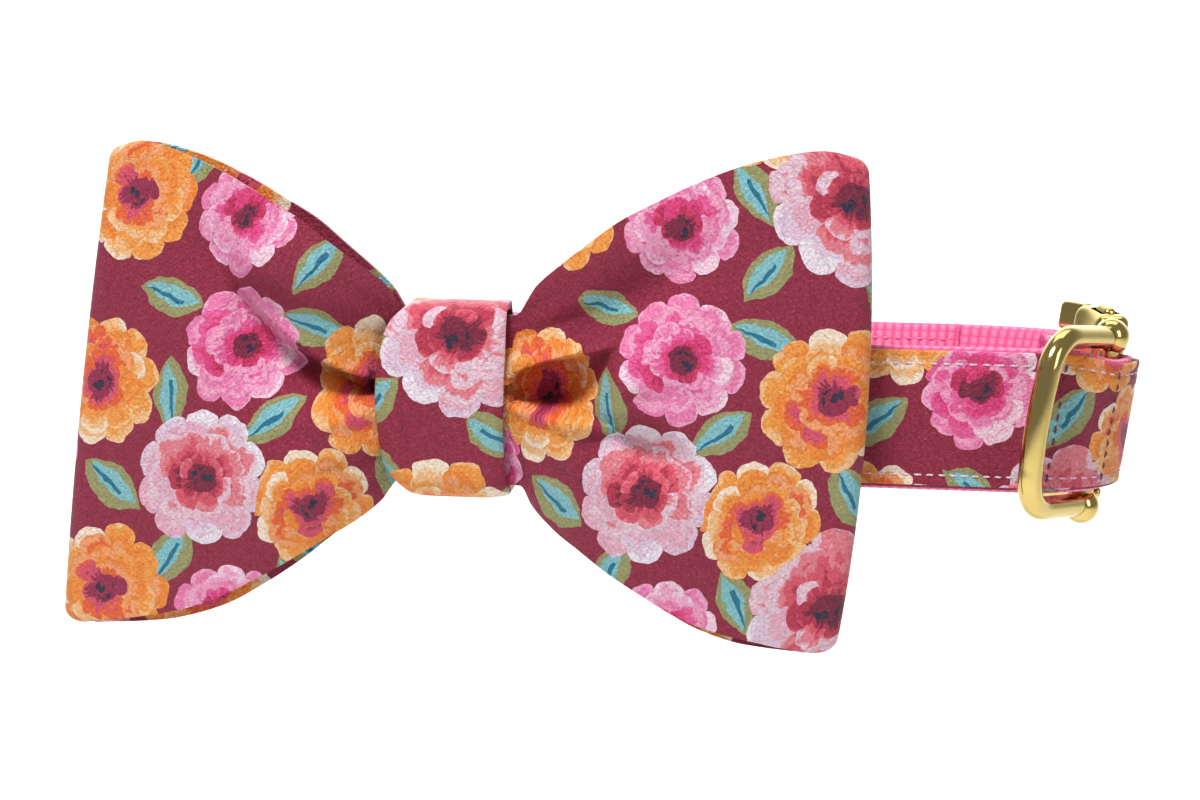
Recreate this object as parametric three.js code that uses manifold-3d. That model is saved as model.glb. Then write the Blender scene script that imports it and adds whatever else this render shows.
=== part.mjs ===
// Pet bow tie collar: a webbing collar with a printed cotton cover, a cotton bow held on it
// by a knot band, a D-ring in a sewn tunnel and a contoured side-release buckle.
// Millimetres, +Z up, -Y to the front of the bow, origin at the centre of the neck opening.

import * as THREE from 'three';
import Module from 'manifold-3d';
import { mergeVertices } from 'three/addons/utils/BufferGeometryUtils.js';

const wasm = await Module();
wasm.setup();

// Gap between pieces that touch on the real collar
const GAP = 0.3;

// Webbing and its cotton cover
const STRAP_WIDTH = 25.4;
const WEBBING_THICK = 1.6;
const COVER_THICK = 1.0;
const COVER_MARGIN = 0.6;
const COVER_OFFSET = WEBBING_THICK / 2 + GAP + COVER_THICK / 2;
const COVER_FACE = WEBBING_THICK / 2 + GAP + COVER_THICK;

// Plan of the worn loop, on the middle of the webbing
const LOOP_HALF_DEPTH = 25;
const LOOP_LEFT = -85;
const LOOP_RIGHT = 84.4;
const NEAR_CORNER_R = 17;
const FAR_CORNER_R = 2 * LOOP_HALF_DEPTH - NEAR_CORNER_R;

// The buckled end leans outwards at its top, and the strap narrows where it enters the buckle
const LEAN = THREE.MathUtils.degToRad(8);
const LEAN_START = 50;
const LEAN_FULL = 70;
const NARROWING = 2.2;
const NARROW_FROM = 22;
const NARROW_FULL = 9;

// Folds of the strap round the buckle's bars, and the tails sewn down behind them
const FOLD_R = 2.0;
const FOLD_STEPS = 8;
const TAIL_SPACING = WEBBING_THICK + GAP;
const TAIL_NEAR = 28;
const TAIL_FAR = 22;
const TAIL_CLOSES = 5;
const COVER_WRAP = 3;
const STRAP_STEP = 3;
const ROUTE_STEP = 1.2;

// D-ring, turning on its straight bar in the tunnel between the strap and its tail
const RING_WIRE_R = 1.8;
const RING_ARC_R = 2.1;
const RING_INSIDE = 26.8;
const RING_REACH = 22.8;
const RING_CORNER_R = 2.6;
const RING_SHOULDER_R = 7;
const RING_BOW = 0.7;
const RING_BALL_R = 3.2;
const RING_BALL_LIFT = 0.2;
const RING_BALL_OUT = -0.2;
const RING_BALL_SIDES = 20;
const RING_SIDES = 12;
const RING_BEND_STEPS = 3;
const RING_SHOULDER_STEPS = 6;
const RING_BOW_STEPS = 6;
const RING_BAR_TURN = THREE.MathUtils.degToRad(68.5);
const RING_HANGS = 1.0;
const RING_REST_TURN = THREE.MathUtils.degToRad(96.5);
const TUNNEL_HALF = 8.5;
const TUNNEL_PLAY = 0.45;

// Buckle, measured along the far corner's arc from the near bar
const BUCKLE_HALF_HEIGHT = 16.2;
const BUCKLE_LENGTH = 26;
const BUCKLE_TAPER = 0.14;
const BAR_R = 0.9;
const FRAME_HALF_HEIGHT = 15.6;
const FAR_FRAME_HALF_HEIGHT = 16.2;
const FRAME_THICK = 2.8;
const LEG_INSIDE = STRAP_WIDTH / 2 + 0.6;
const FAR_LEG_INSIDE = LEG_INSIDE / (1 + BUCKLE_TAPER);
const LEG_PAST_BAR = 1.4;
const FRAME_PLATE_START = FOLD_R + COVER_FACE + GAP + 0.4;
const SOCKET_START = 8.4;
const SOCKET_END = BUCKLE_LENGTH - FRAME_PLATE_START;
const SOCKET_THICK = 6.4;
const SOCKET_WALL = 1.3;
const SOCKET_SIDE_WALL = 2.6;
const CAVITY_END = 18.8;
const PRONG_WIDTH = 4;
const PRONG_END = 17.2;
const BUTTON_START = 11.6;
const BUTTON_END = 16.6;
const BUTTON_PROUD = 0.8;
const ARC_STEP = 3;

// Bow: a flat loop of cotton folded at both ends, open above and below, pinched in the middle
const BOW_X = -31.4;
const BOW_Z = 2.4;
const BOW_HALF_HEIGHT = 43.1;
const BOW_WALL = 1.4;
const BOW_FORWARD = 16.5;
const BOW_ROWS = 16;
// Slant moves the wing's top corner outwards, belly its middle, and tuck is how much further out,
// as a share of the reach, its front layer swells from under the knot. Sag lowers its top edge between
// the waist and the corner, as a share of the half height
const WINGS = {
  left: { side: -1, reach: 67.3, slant: -4.6, belly: 0.7, tuck: 0.05, sag: 0.03 },
  right: { side: 1, reach: 68.5, slant: 1.75, belly: 2.8, tuck: 0, sag: 0 },
};

// Sections of a wing from the waist to the fold. The reach is a share of the wing's reach, top,
// bottom and drop (how far the back layer hangs lower) are shares of the half height, and front
// and back are shares of the bow's forward depth, measured from the strap's face
const SECTIONS = [
  { reach: 0.00, top: 0.325, bottom: 0.358, drop: 0.000, front: 0.480, back: 0.068 },
  { reach: 0.11, top: 0.325, bottom: 0.360, drop: 0.000, front: 0.465, back: 0.068 },
  { reach: 0.15, top: 0.338, bottom: 0.360, drop: 0.000, front: 0.470, back: 0.068 },
  { reach: 0.175, top: 0.395, bottom: 0.370, drop: 0.000, front: 0.530, back: 0.070 },
  { reach: 0.20, top: 0.455, bottom: 0.435, drop: 0.000, front: 0.620, back: 0.072 },
  { reach: 0.26, top: 0.540, bottom: 0.520, drop: 0.005, front: 0.810, back: 0.080 },
  { reach: 0.33, top: 0.630, bottom: 0.592, drop: 0.015, front: 0.960, back: 0.095 },
  { reach: 0.41, top: 0.730, bottom: 0.682, drop: 0.035, front: 1.000, back: 0.110 },
  { reach: 0.50, top: 0.810, bottom: 0.770, drop: 0.052, front: 0.990, back: 0.125 },
  { reach: 0.60, top: 0.890, bottom: 0.860, drop: 0.060, front: 0.930, back: 0.140 },
  { reach: 0.72, top: 0.965, bottom: 0.925, drop: 0.060, front: 0.830, back: 0.160 },
  { reach: 0.82, top: 1.000, bottom: 0.955, drop: 0.052, front: 0.730, back: 0.185 },
  { reach: 0.92, top: 1.012, bottom: 0.980, drop: 0.036, front: 0.610, back: 0.215 },
  { reach: 1.00, top: 0.985, bottom: 0.990, drop: 0.028, front: 0.540, back: 0.240 },
];

// Pockets where the front layer is drawn in between two creases. From and to are shares of the
// reach, the crease ends are shares of the half height, the depth is a share of the forward depth
// and lasts is the power of the reach at which it fades
const POCKETS = [
  { wing: 'left', from: 0.15, to: 0.61, upperRoot: 0.03, upperTip: 0.49, upperBend: 1.9,
    lowerRoot: -0.01, lowerTip: -0.32, lowerBend: 1.0, depth: 0.56, skew: 2.6, lasts: 3 },
  { wing: 'right', from: 0.125, to: 0.41, upperRoot: 0.07, upperTip: 0.215, upperBend: 0.4,
    lowerRoot: 0.00, lowerTip: -0.10, lowerBend: 0.5, depth: 0.92, skew: 1.6, lasts: 3 },
];

// Soft folds that run out from the waist, in the same shares
const FOLDS = [
  { wing: 'right', fromReach: 0.24, fromHeight: 0.16, toReach: 0.68, toHeight: 0.72, depth: 0.24, width: 0.11 },
  { wing: 'right', fromReach: 0.34, fromHeight: -0.09, toReach: 0.58, toHeight: -0.30, depth: 0.16, width: 0.07 },
  { wing: 'left', fromReach: 0.20, fromHeight: -0.20, toReach: 0.62, toHeight: -0.52, depth: -0.07, width: 0.14 },
  { wing: 'left', fromReach: 0.50, fromHeight: 0.32, toReach: 0.74, toHeight: 0.72, depth: 0.13, width: 0.08 },
  { wing: 'left', fromReach: 0.22, fromHeight: 0.30, toReach: 0.60, toHeight: 0.66, depth: -0.08, width: 0.14 },
];

// Stations along a wing, closer at the waist and round the fold, as shares of the reach
const STATIONS = [0, 0.05, 0.10, 0.13, 0.155, 0.185, 0.22, 0.26, 0.30, 0.345, 0.395, 0.45, 0.51, 0.58,
  0.66, 0.75, 0.84, 0.91, 0.955, 0.975, 0.99, 1];
const FOLD_STARTS = 0.955;
const RIM_CLOSING = 0.22;
const WAIST_CLOSING = 0.4;
const LAYER_SPACE = 0.5;

// Knot band: a ring of cotton round the bow's waist and the strap
const KNOT_WALL = 1.5;
const KNOT_FRONT_BULGE = 1.5;
const KNOT_EDGE_ROLL = 1;
const KNOT_CLEAR = 1.95;
const KNOT_TOP = BOW_Z + SECTIONS[0].top * BOW_HALF_HEIGHT + KNOT_CLEAR;
const KNOT_BOTTOM = BOW_Z - SECTIONS[0].bottom * BOW_HALF_HEIGHT - KNOT_CLEAR;
const KNOT_TOP_SAG = 0.5;
const KNOT_WIDTH = 22;
const KNOT_BEND = 4;
const KNOT_BACK_BEND = 1.5;
const KNOT_COLUMNS = 9;
// Left and right edges at the front, by height share from the bottom up, measured from the bow's
// middle as shares of the knot's width
const KNOT_EDGES = [
  { height: 0.00, left: -0.40, right: 0.43 },
  { height: 0.15, left: -0.555, right: 0.39 },
  { height: 0.30, left: -0.60, right: 0.37 },
  { height: 0.52, left: -0.63, right: 0.37 },
  { height: 0.75, left: -0.60, right: 0.375 },
  { height: 0.90, left: -0.53, right: 0.38 },
  { height: 1.00, left: -0.41, right: 0.40 },
];

const smooth = (from, to, value) => THREE.MathUtils.smoothstep(value, from, to);

// Value of one column of a table at a place in its first column, on a smooth curve through the rows
function readTable(rows, key, column, place) {
  const last = rows.length - 1;
  let row = 0;
  while (row < last - 1 && rows[row + 1][key] < place) {
    row += 1;
  }
  const slope = (index) => {
    const before = rows[Math.max(index - 1, 0)];
    const after = rows[Math.min(index + 1, last)];
    return (after[column] - before[column]) / (after[key] - before[key]);
  };
  const start = rows[row];
  const end = rows[row + 1];
  const span = end[key] - start[key];
  const t = THREE.MathUtils.clamp((place - start[key]) / span, 0, 1);
  const rise = (3 - 2 * t) * t * t;
  const startPull = t * (1 - t) * (1 - t) * span * slope(row);
  const endPull = t * t * (t - 1) * span * slope(row + 1);
  return start[column] * (1 - rise) + end[column] * rise + startPull + endPull;
}

// Geometry from a list of points and quads, each quad listed anticlockwise seen from outside
function geometryFromQuads(points, quads) {
  const geometry = new THREE.BufferGeometry();
  geometry.setAttribute('position', new THREE.Float32BufferAttribute(points.flatMap((p) => [p.x, p.y, p.z]), 3));
  geometry.setIndex(quads.flatMap(([a, b, c, d]) => [a, b, c, a, c, d]));
  return geometry;
}

// A cloth wall round a closed row of columns: the middle surface is pushed half the wall both
// ways along its normals, and rims close it at the first and last row
function clothRing(middle, wall) {
  const columns = middle.length;
  const rows = middle[0].length;
  const outer = [];
  const inner = [];
  for (let c = 0; c < columns; c += 1) {
    for (let r = 0; r < rows; r += 1) {
      const round = middle[(c + 1) % columns][r].clone().sub(middle[(c + columns - 1) % columns][r]);
      const across = middle[c][Math.min(r + 1, rows - 1)].clone().sub(middle[c][Math.max(r - 1, 0)]);
      const normal = round.cross(across).normalize();
      outer.push(middle[c][r].clone().addScaledVector(normal, wall / 2));
      inner.push(middle[c][r].clone().addScaledVector(normal, -wall / 2));
    }
  }
  const quads = [];
  const offset = outer.length;
  for (let c = 0; c < columns; c += 1) {
    const here = c * rows;
    const next = ((c + 1) % columns) * rows;
    for (let r = 0; r < rows - 1; r += 1) {
      quads.push([here + r, next + r, next + r + 1, here + r + 1]);
      quads.push([offset + here + r, offset + here + r + 1, offset + next + r + 1, offset + next + r]);
    }
    const top = rows - 1;
    quads.push([here + top, next + top, offset + next + top, offset + here + top]);
    quads.push([here, offset + here, offset + next, next]);
  }
  return geometryFromQuads([...outer, ...inner], quads);
}

// Plan of the loop, clockwise from above, starting at the near bar of the buckle
function loopPlan() {
  const nearCentre = new THREE.Vector2(LOOP_RIGHT - NEAR_CORNER_R, NEAR_CORNER_R - LOOP_HALF_DEPTH);
  const farCentreX = LOOP_RIGHT - FAR_CORNER_R;
  const leftCentreX = LOOP_LEFT + LOOP_HALF_DEPTH;
  const plan = new THREE.Path();
  plan.absarc(nearCentre.x, nearCentre.y, NEAR_CORNER_R, 0, -Math.PI / 2, true);
  plan.lineTo(leftCentreX, -LOOP_HALF_DEPTH);
  plan.absarc(leftCentreX, 0, LOOP_HALF_DEPTH, -Math.PI / 2, -3 * Math.PI / 2, true);
  plan.lineTo(farCentreX, LOOP_HALF_DEPTH);
  plan.absarc(farCentreX, nearCentre.y, FAR_CORNER_R, Math.PI / 2, 0, true);
  return { plan, length: plan.getLength(), nearCentre, farCentreX };
}

const LOOP = loopPlan();
const STRAP_LENGTH = LOOP.length - BUCKLE_LENGTH;

// Point on the loop at a length from the near bar, moved outwards by an offset
function loopPoint(length, outwards) {
  const share = THREE.MathUtils.clamp(length / LOOP.length, 0, 1);
  const point = LOOP.plan.getPoint(share);
  const along = LOOP.plan.getTangent(share);
  return new THREE.Vector2(point.x - along.y * outwards, point.y + along.x * outwards);
}

const RING_BAR_PLACE = NEAR_CORNER_R * (Math.PI / 2 - RING_BAR_TURN);
const RING_BAR_DEPTH = WEBBING_THICK / 2 + TUNNEL_PLAY + RING_WIRE_R;

// How far the near tail lies inside the strap: apart at the fold, close to it where it is sewn,
// and bulged round the D-ring's bar
function nearTailDepth(length) {
  const fold = (2 * FOLD_R - TAIL_SPACING) * (1 - smooth(0, TAIL_CLOSES, length));
  const tunnelDepth = 2 * (RING_WIRE_R + TUNNEL_PLAY);
  const away = Math.min(Math.abs(length - RING_BAR_PLACE) / TUNNEL_HALF, 1);
  const bulge = tunnelDepth * (0.5 + 0.5 * Math.cos(Math.PI * away));
  return TAIL_SPACING + Math.max(fold, bulge);
}

function farTailDepth(length) {
  return TAIL_SPACING + (2 * FOLD_R - TAIL_SPACING) * (1 - smooth(0, TAIL_CLOSES, length));
}

// Half circle of the strap round a bar, from one side of it to the other
function foldPoints(place, fromInside) {
  const centre = loopPoint(place, -FOLD_R);
  const out = loopPoint(place, 1).sub(loopPoint(place, 0));
  const onwards = new THREE.Vector2(out.y, -out.x).multiplyScalar(fromInside ? -1 : 1);
  const points = [];
  for (let step = 1; step < FOLD_STEPS; step += 1) {
    const turn = Math.PI * step / FOLD_STEPS;
    const side = fromInside ? -Math.cos(turn) : Math.cos(turn);
    points.push(centre.clone().addScaledVector(out, FOLD_R * side).addScaledVector(onwards, FOLD_R * Math.sin(turn)));
  }
  return points;
}

// Middle line of the webbing from one tail's end to the other's. Each point keeps the length
// along the loop that it lies beside
function strapRoute() {
  const route = [];
  const add = (point, place, part) => route.push({ point, place, part });
  const nearSteps = Math.round(TAIL_NEAR / ROUTE_STEP);
  for (let step = nearSteps; step >= 0; step -= 1) {
    const place = TAIL_NEAR * step / nearSteps;
    add(loopPoint(place, -nearTailDepth(place)), place, 'nearTail');
  }
  foldPoints(0, true).forEach((point) => add(point, 0, 'strap'));
  const corner = NEAR_CORNER_R * Math.PI / 2;
  const cornerSteps = Math.round(corner / STRAP_STEP) * 2;
  for (let step = 0; step < cornerSteps; step += 1) {
    add(loopPoint(corner * step / cornerSteps, 0), corner * step / cornerSteps, 'strap');
  }
  const steps = Math.round((STRAP_LENGTH - corner) / STRAP_STEP);
  for (let step = 0; step <= steps; step += 1) {
    const place = corner + (STRAP_LENGTH - corner) * step / steps;
    add(loopPoint(place, 0), place, 'strap');
  }
  foldPoints(STRAP_LENGTH, false).forEach((point) => add(point, STRAP_LENGTH, 'strap'));
  const farSteps = Math.round(TAIL_FAR / STRAP_STEP) * 2;
  for (let step = 0; step <= farSteps; step += 1) {
    const back = TAIL_FAR * step / farSteps;
    add(loopPoint(STRAP_LENGTH - back, -farTailDepth(back)), STRAP_LENGTH - back, 'farTail');
  }
  return route;
}

// Sideways lean of the buckled end: what lies higher moves to the right
function leanOut(point) {
  const share = smooth(LEAN_START, LEAN_FULL, point.x);
  return new THREE.Vector3(point.x + point.z * Math.tan(LEAN) * share, point.y, point.z);
}

// Flat ribbon that follows part of the route, standing on its edge
function ribbon(route, offset, thick, width) {
  const sections = route.map(({ place }, index) => {
    const before = route[Math.max(index - 1, 0)].point;
    const after = route[Math.min(index + 1, route.length - 1)].point;
    const along = after.clone().sub(before).normalize();
    const here = route[index].point;
    const side = new THREE.Vector2(-along.y, along.x);
    const narrowing = NARROWING * (1 - smooth(NARROW_FULL, NARROW_FROM, place));
    const heights = [-width / 2, width / 2 - narrowing];
    const faces = [offset - thick / 2, offset + thick / 2].map((depth) => here.clone().addScaledVector(side, depth));
    return [
      new THREE.Vector3(faces[0].x, faces[0].y, heights[0]),
      new THREE.Vector3(faces[0].x, faces[0].y, heights[1]),
      new THREE.Vector3(faces[1].x, faces[1].y, heights[1]),
      new THREE.Vector3(faces[1].x, faces[1].y, heights[0]),
    ].map(leanOut);
  });
  const quads = [];
  for (let index = 0; index < sections.length - 1; index += 1) {
    for (let corner = 0; corner < 4; corner += 1) {
      const next = (corner + 1) % 4;
      quads.push([index * 4 + corner, (index + 1) * 4 + corner, (index + 1) * 4 + next, index * 4 + next]);
    }
  }
  const end = (sections.length - 1) * 4;
  quads.push([0, 1, 2, 3]);
  quads.push([end + 3, end + 2, end + 1, end]);
  return geometryFromQuads(sections.flat(), quads);
}

const ROUTE = strapRoute();

function webbing() {
  return ribbon(ROUTE, 0, WEBBING_THICK, STRAP_WIDTH);
}

function cover() {
  const wrapped = ROUTE.filter(({ place, part }) => part === 'strap'
    || (part === 'nearTail' && place <= COVER_WRAP)
    || (part === 'farTail' && STRAP_LENGTH - place <= COVER_WRAP));
  return ribbon(wrapped, COVER_OFFSET, COVER_THICK, STRAP_WIDTH - 2 * COVER_MARGIN);
}

// Outline of the D-ring's wire in its own plane: x away from the bar, y along it
function ringOutline() {
  const half = RING_INSIDE / 2 + RING_WIRE_R;
  const outline = new THREE.Path();
  outline.moveTo(0, 0);
  outline.lineTo(0, -half + RING_CORNER_R);
  outline.absarc(RING_CORNER_R, -half + RING_CORNER_R, RING_CORNER_R, Math.PI, 1.5 * Math.PI, false);
  const shoulder = RING_REACH - RING_BOW - RING_SHOULDER_R;
  outline.lineTo(shoulder, -half);
  outline.absarc(shoulder, -half + RING_SHOULDER_R, RING_SHOULDER_R, -Math.PI / 2, 0, false);
  outline.quadraticCurveTo(RING_REACH + RING_BOW, 0, RING_REACH - RING_BOW, half - RING_SHOULDER_R);
  outline.absarc(shoulder, half - RING_SHOULDER_R, RING_SHOULDER_R, 0, Math.PI / 2, false);
  outline.lineTo(RING_CORNER_R, half);
  outline.absarc(RING_CORNER_R, half - RING_CORNER_R, RING_CORNER_R, Math.PI / 2, Math.PI, false);
  const steps = [2, RING_BEND_STEPS, 2, RING_SHOULDER_STEPS, RING_BOW_STEPS, RING_SHOULDER_STEPS, 2, RING_BEND_STEPS];
  const points = outline.curves.flatMap((curve, index) => curve.getPoints(steps[index]).slice(0, -1));
  points.push(outline.curves[outline.curves.length - 1].getPoint(1));
  return points;
}

// Round wire carried along the ring's outline, a closed ring of rings
function ringWire() {
  const outline = ringOutline();
  const count = outline.length;
  const points = [];
  outline.forEach((point, index) => {
    const along = outline[(index + 1) % count].clone().sub(outline[(index + count - 1) % count]).normalize();
    const radius = point.x < RING_CORNER_R / 4 ? RING_WIRE_R : RING_ARC_R;
    for (let side = 0; side < RING_SIDES; side += 1) {
      const turn = 2 * Math.PI * side / RING_SIDES;
      const across = radius * Math.cos(turn);
      points.push(new THREE.Vector3(point.x + along.y * across, radius * Math.sin(turn), point.y - along.x * across));
    }
  });
  const quads = [];
  for (let index = 0; index < count; index += 1) {
    for (let side = 0; side < RING_SIDES; side += 1) {
      const next = (side + 1) % RING_SIDES;
      const here = index * RING_SIDES;
      const beside = ((index + 1) % count) * RING_SIDES;
      quads.push([here + side, here + next, beside + next, beside + side]);
    }
  }
  return geometryFromQuads(points, quads);
}

// The whole ring: its wire, with a ball-like corner at each end of the straight bar
function ringWithCorners() {
  const height = RING_INSIDE / 2 + RING_WIRE_R + RING_BALL_LIFT;
  const ball = wasm.Manifold.sphere(RING_BALL_R, RING_BALL_SIDES);
  const upper = ball.translate([RING_BALL_OUT, 0, height]);
  const lower = ball.translate([RING_BALL_OUT, 0, -height]);
  return toGeometry(toSolid(ringWire()).add(upper).add(lower));
}

// Curved block of the buckle between two lengths along its arc, two depths and two heights
function arcBlock(from, to, inside, outside, low, high) {
  const turnOf = (length) => length / FAR_CORNER_R;
  const steps = Math.max(2, Math.ceil((to - from) / ARC_STEP));
  const point = (radius, length) => new THREE.Vector2(
    LOOP.farCentreX + (FAR_CORNER_R + radius) * Math.cos(turnOf(length)),
    LOOP.nearCentre.y + (FAR_CORNER_R + radius) * Math.sin(turnOf(length)),
  );
  const outline = [];
  for (let step = 0; step <= steps; step += 1) {
    outline.push(point(outside, from + (to - from) * step / steps));
  }
  for (let step = steps; step >= 0; step -= 1) {
    outline.push(point(inside, from + (to - from) * step / steps));
  }
  const geometry = new THREE.ExtrudeGeometry(new THREE.Shape(outline), { depth: high - low, bevelEnabled: false });
  return geometry.translate(0, 0, low);
}

function buckleBar(length, halfHeight) {
  const turn = length / FAR_CORNER_R;
  const radius = FAR_CORNER_R - FOLD_R;
  const bar = new THREE.CylinderGeometry(BAR_R, BAR_R, 2 * halfHeight - FRAME_THICK / 2, RING_SIDES);
  bar.rotateX(Math.PI / 2);
  return bar.translate(LOOP.farCentreX + radius * Math.cos(turn), LOOP.nearCentre.y + radius * Math.sin(turn), 0);
}

function toSolid(geometry) {
  const bare = geometry.index ? geometry.clone() : geometry;
  bare.deleteAttribute('normal');
  bare.deleteAttribute('uv');
  const merged = mergeVertices(bare, 1e-4);
  return new wasm.Manifold(new wasm.Mesh({
    numProp: 3,
    vertProperties: new Float32Array(merged.attributes.position.array),
    triVerts: new Uint32Array(merged.index.array),
  }));
}

function toGeometry(solid) {
  const mesh = solid.getMesh();
  const geometry = new THREE.BufferGeometry();
  geometry.setAttribute('position', new THREE.BufferAttribute(new Float32Array(mesh.vertProperties), 3));
  geometry.setIndex(Array.from(mesh.triVerts));
  return geometry;
}

// Solid of a buckle half as geometry, each point first moved by a function and then leant out
function toLeaningGeometry(solid, move = (point) => point) {
  const geometry = toGeometry(solid);
  const position = geometry.attributes.position;
  const point = new THREE.Vector3();
  for (let index = 0; index < position.count; index += 1) {
    const leaning = leanOut(move(point.fromBufferAttribute(position, index)));
    position.setXYZ(index, leaning.x, leaning.y, leaning.z);
  }
  return geometry;
}

// Both halves grow taller towards the far bar
function taper(point) {
  const length = FAR_CORNER_R * Math.atan2(point.y - LOOP.nearCentre.y, point.x - LOOP.farCentreX);
  return point.z * (1 + BUCKLE_TAPER * smooth(0, BUCKLE_LENGTH, length));
}

// The tongue's top also follows the narrowed strap: low at the near bar, full where it enters the socket
function lowerNearBar(point) {
  const length = FAR_CORNER_R * Math.atan2(point.y - LOOP.nearCentre.y, point.x - LOOP.farCentreX);
  const share = 1 - smooth(LEG_PAST_BAR, SOCKET_START - GAP, length);
  const drop = NARROWING * share * (point.z / BUCKLE_HALF_HEIGHT + 1) / 2;
  return new THREE.Vector3(point.x, point.y, taper(point) - drop);
}

// The same block above and below the strap
function pair(from, to, inside, outside, low, high) {
  return [
    toSolid(arcBlock(from, to, inside, outside, low, high)),
    toSolid(arcBlock(from, to, inside, outside, -high, -low)),
  ];
}

const PLATE_INSIDE = -FOLD_R - FRAME_THICK / 2;
const PLATE_OUTSIDE = -FOLD_R + FRAME_THICK / 2;
const CAVITY_HALF = BUCKLE_HALF_HEIGHT - SOCKET_SIDE_WALL;
const PRONG_OUTER = CAVITY_HALF - GAP;

// Tongue: the near bar in its frame, and two prongs whose buttons show at the socket's sides
function buckleTongue() {
  const parts = [
    toSolid(buckleBar(0, FRAME_HALF_HEIGHT)),
    ...pair(-LEG_PAST_BAR, FRAME_PLATE_START + 1, PLATE_INSIDE, PLATE_OUTSIDE, LEG_INSIDE, FRAME_HALF_HEIGHT),
    toSolid(arcBlock(FRAME_PLATE_START, SOCKET_START - GAP, PLATE_INSIDE, PLATE_OUTSIDE,
      -FRAME_HALF_HEIGHT, FRAME_HALF_HEIGHT)),
    toSolid(arcBlock(SOCKET_START - 1, BUTTON_START - 1, PLATE_INSIDE + GAP, PLATE_OUTSIDE - GAP,
      -PRONG_OUTER, PRONG_OUTER)),
    ...pair(BUTTON_START - 2, PRONG_END, PLATE_INSIDE + GAP, PLATE_OUTSIDE - GAP,
      PRONG_OUTER - PRONG_WIDTH, PRONG_OUTER),
    ...pair(BUTTON_START, BUTTON_END, PLATE_INSIDE + GAP, PLATE_OUTSIDE - GAP,
      PRONG_OUTER - 1, BUCKLE_HALF_HEIGHT + BUTTON_PROUD),
  ];
  return toLeaningGeometry(parts.reduce((whole, part) => whole.add(part)), lowerNearBar);
}

// Socket: a curved hollow body with windows for the buttons, and the far bar in its frame
function buckleSocket() {
  const inside = -FOLD_R - SOCKET_THICK / 2;
  const outside = -FOLD_R + SOCKET_THICK / 2;
  const body = toSolid(arcBlock(SOCKET_START, SOCKET_END, inside, outside, -BUCKLE_HALF_HEIGHT, BUCKLE_HALF_HEIGHT));
  const cavity = toSolid(arcBlock(SOCKET_START - 1, CAVITY_END, inside + SOCKET_WALL, outside - SOCKET_WALL,
    -CAVITY_HALF, CAVITY_HALF));
  const windows = pair(BUTTON_START - 2 * GAP, BUTTON_END + 2 * GAP, inside + SOCKET_WALL, outside - SOCKET_WALL,
    CAVITY_HALF - 1, BUCKLE_HALF_HEIGHT + 1);
  const hollow = windows.reduce((whole, part) => whole.subtract(part), body.subtract(cavity));
  const frame = [
    toSolid(buckleBar(BUCKLE_LENGTH, FAR_FRAME_HALF_HEIGHT)),
    ...pair(SOCKET_END - 1, BUCKLE_LENGTH + LEG_PAST_BAR, PLATE_INSIDE, PLATE_OUTSIDE,
      FAR_LEG_INSIDE, FAR_FRAME_HALF_HEIGHT),
  ];
  return toLeaningGeometry(
    frame.reduce((whole, part) => whole.add(part), hollow),
    (point) => new THREE.Vector3(point.x, point.y, taper(point)),
  );
}

// How far a wing's front layer is drawn in at a share of its reach and half height
function drawnIn(wingName, reach, height) {
  let depth = 0;
  POCKETS.filter((pocket) => pocket.wing === wingName).forEach((pocket) => {
    const t = THREE.MathUtils.clamp((reach - pocket.from) / (pocket.to - pocket.from), 0, 1);
    const upper = pocket.upperRoot + (pocket.upperTip - pocket.upperRoot) * t ** pocket.upperBend;
    const lower = pocket.lowerRoot + (pocket.lowerTip - pocket.lowerRoot) * t ** pocket.lowerBend;
    const place = THREE.MathUtils.clamp((height - lower) / (upper - lower), 0, 1);
    const entry = smooth(pocket.from - 0.07, pocket.from + 0.03, reach);
    depth += pocket.depth * entry * (1 - t ** pocket.lasts) * Math.sin(Math.PI * place ** pocket.skew);
  });
  FOLDS.filter((fold) => fold.wing === wingName).forEach((fold) => {
    const run = new THREE.Vector2(fold.toReach - fold.fromReach, fold.toHeight - fold.fromHeight);
    const from = new THREE.Vector2(reach - fold.fromReach, height - fold.fromHeight);
    const t = from.dot(run) / run.lengthSq();
    const away = from.cross(run) / run.length() / fold.width;
    depth += fold.depth * Math.exp(-away * away) * smooth(-0.25, 0.2, t) * (1 - smooth(0.4, 1.1, t));
  });
  return depth;
}

// Point on the middle of a wing's front or back layer
function wingPoint(wingName, front, reach, row) {
  const wing = WINGS[wingName];
  const column = (name) => readTable(SECTIONS, 'reach', name, reach);
  const top = column('top') - wing.sag * Math.sin(Math.PI * reach);
  const rise = row >= 0 ? row * top : row * (column('bottom') + (front ? 0 : column('drop')));
  const edge = wing.reach + wing.slant * rise + wing.belly * (1 - rise * rise);
  const closing = 1 - row * row * THREE.MathUtils.lerp(WAIST_CLOSING, RIM_CLOSING, smooth(0.15, 0.4, reach));
  const backDepth = column('back');
  const swell = readTable(SECTIONS, 'reach', 'front', Math.max(reach - wing.tuck * (1 - reach), 0));
  const fullDepth = backDepth + (swell - backDepth) * closing;
  const bent = THREE.MathUtils.clamp((reach - FOLD_STARTS) / (1 - FOLD_STARTS), 0, 1);
  const open = Math.sqrt(1 - bent * bent);
  const middle = (fullDepth + backDepth) / 2;
  const least = backDepth + (BOW_WALL + LAYER_SPACE) / BOW_FORWARD;
  const drawn = fullDepth - drawnIn(wingName, reach, rise);
  const frontDepth = reach < FOLD_STARTS ? Math.max(drawn, least) : drawn;
  const forward = middle + ((front ? frontDepth : backDepth) - middle) * open;
  return new THREE.Vector3(
    BOW_X + wing.side * reach * edge,
    -(LOOP_HALF_DEPTH + COVER_FACE + forward * BOW_FORWARD),
    BOW_Z + rise * BOW_HALF_HEIGHT,
  );
}

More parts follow.
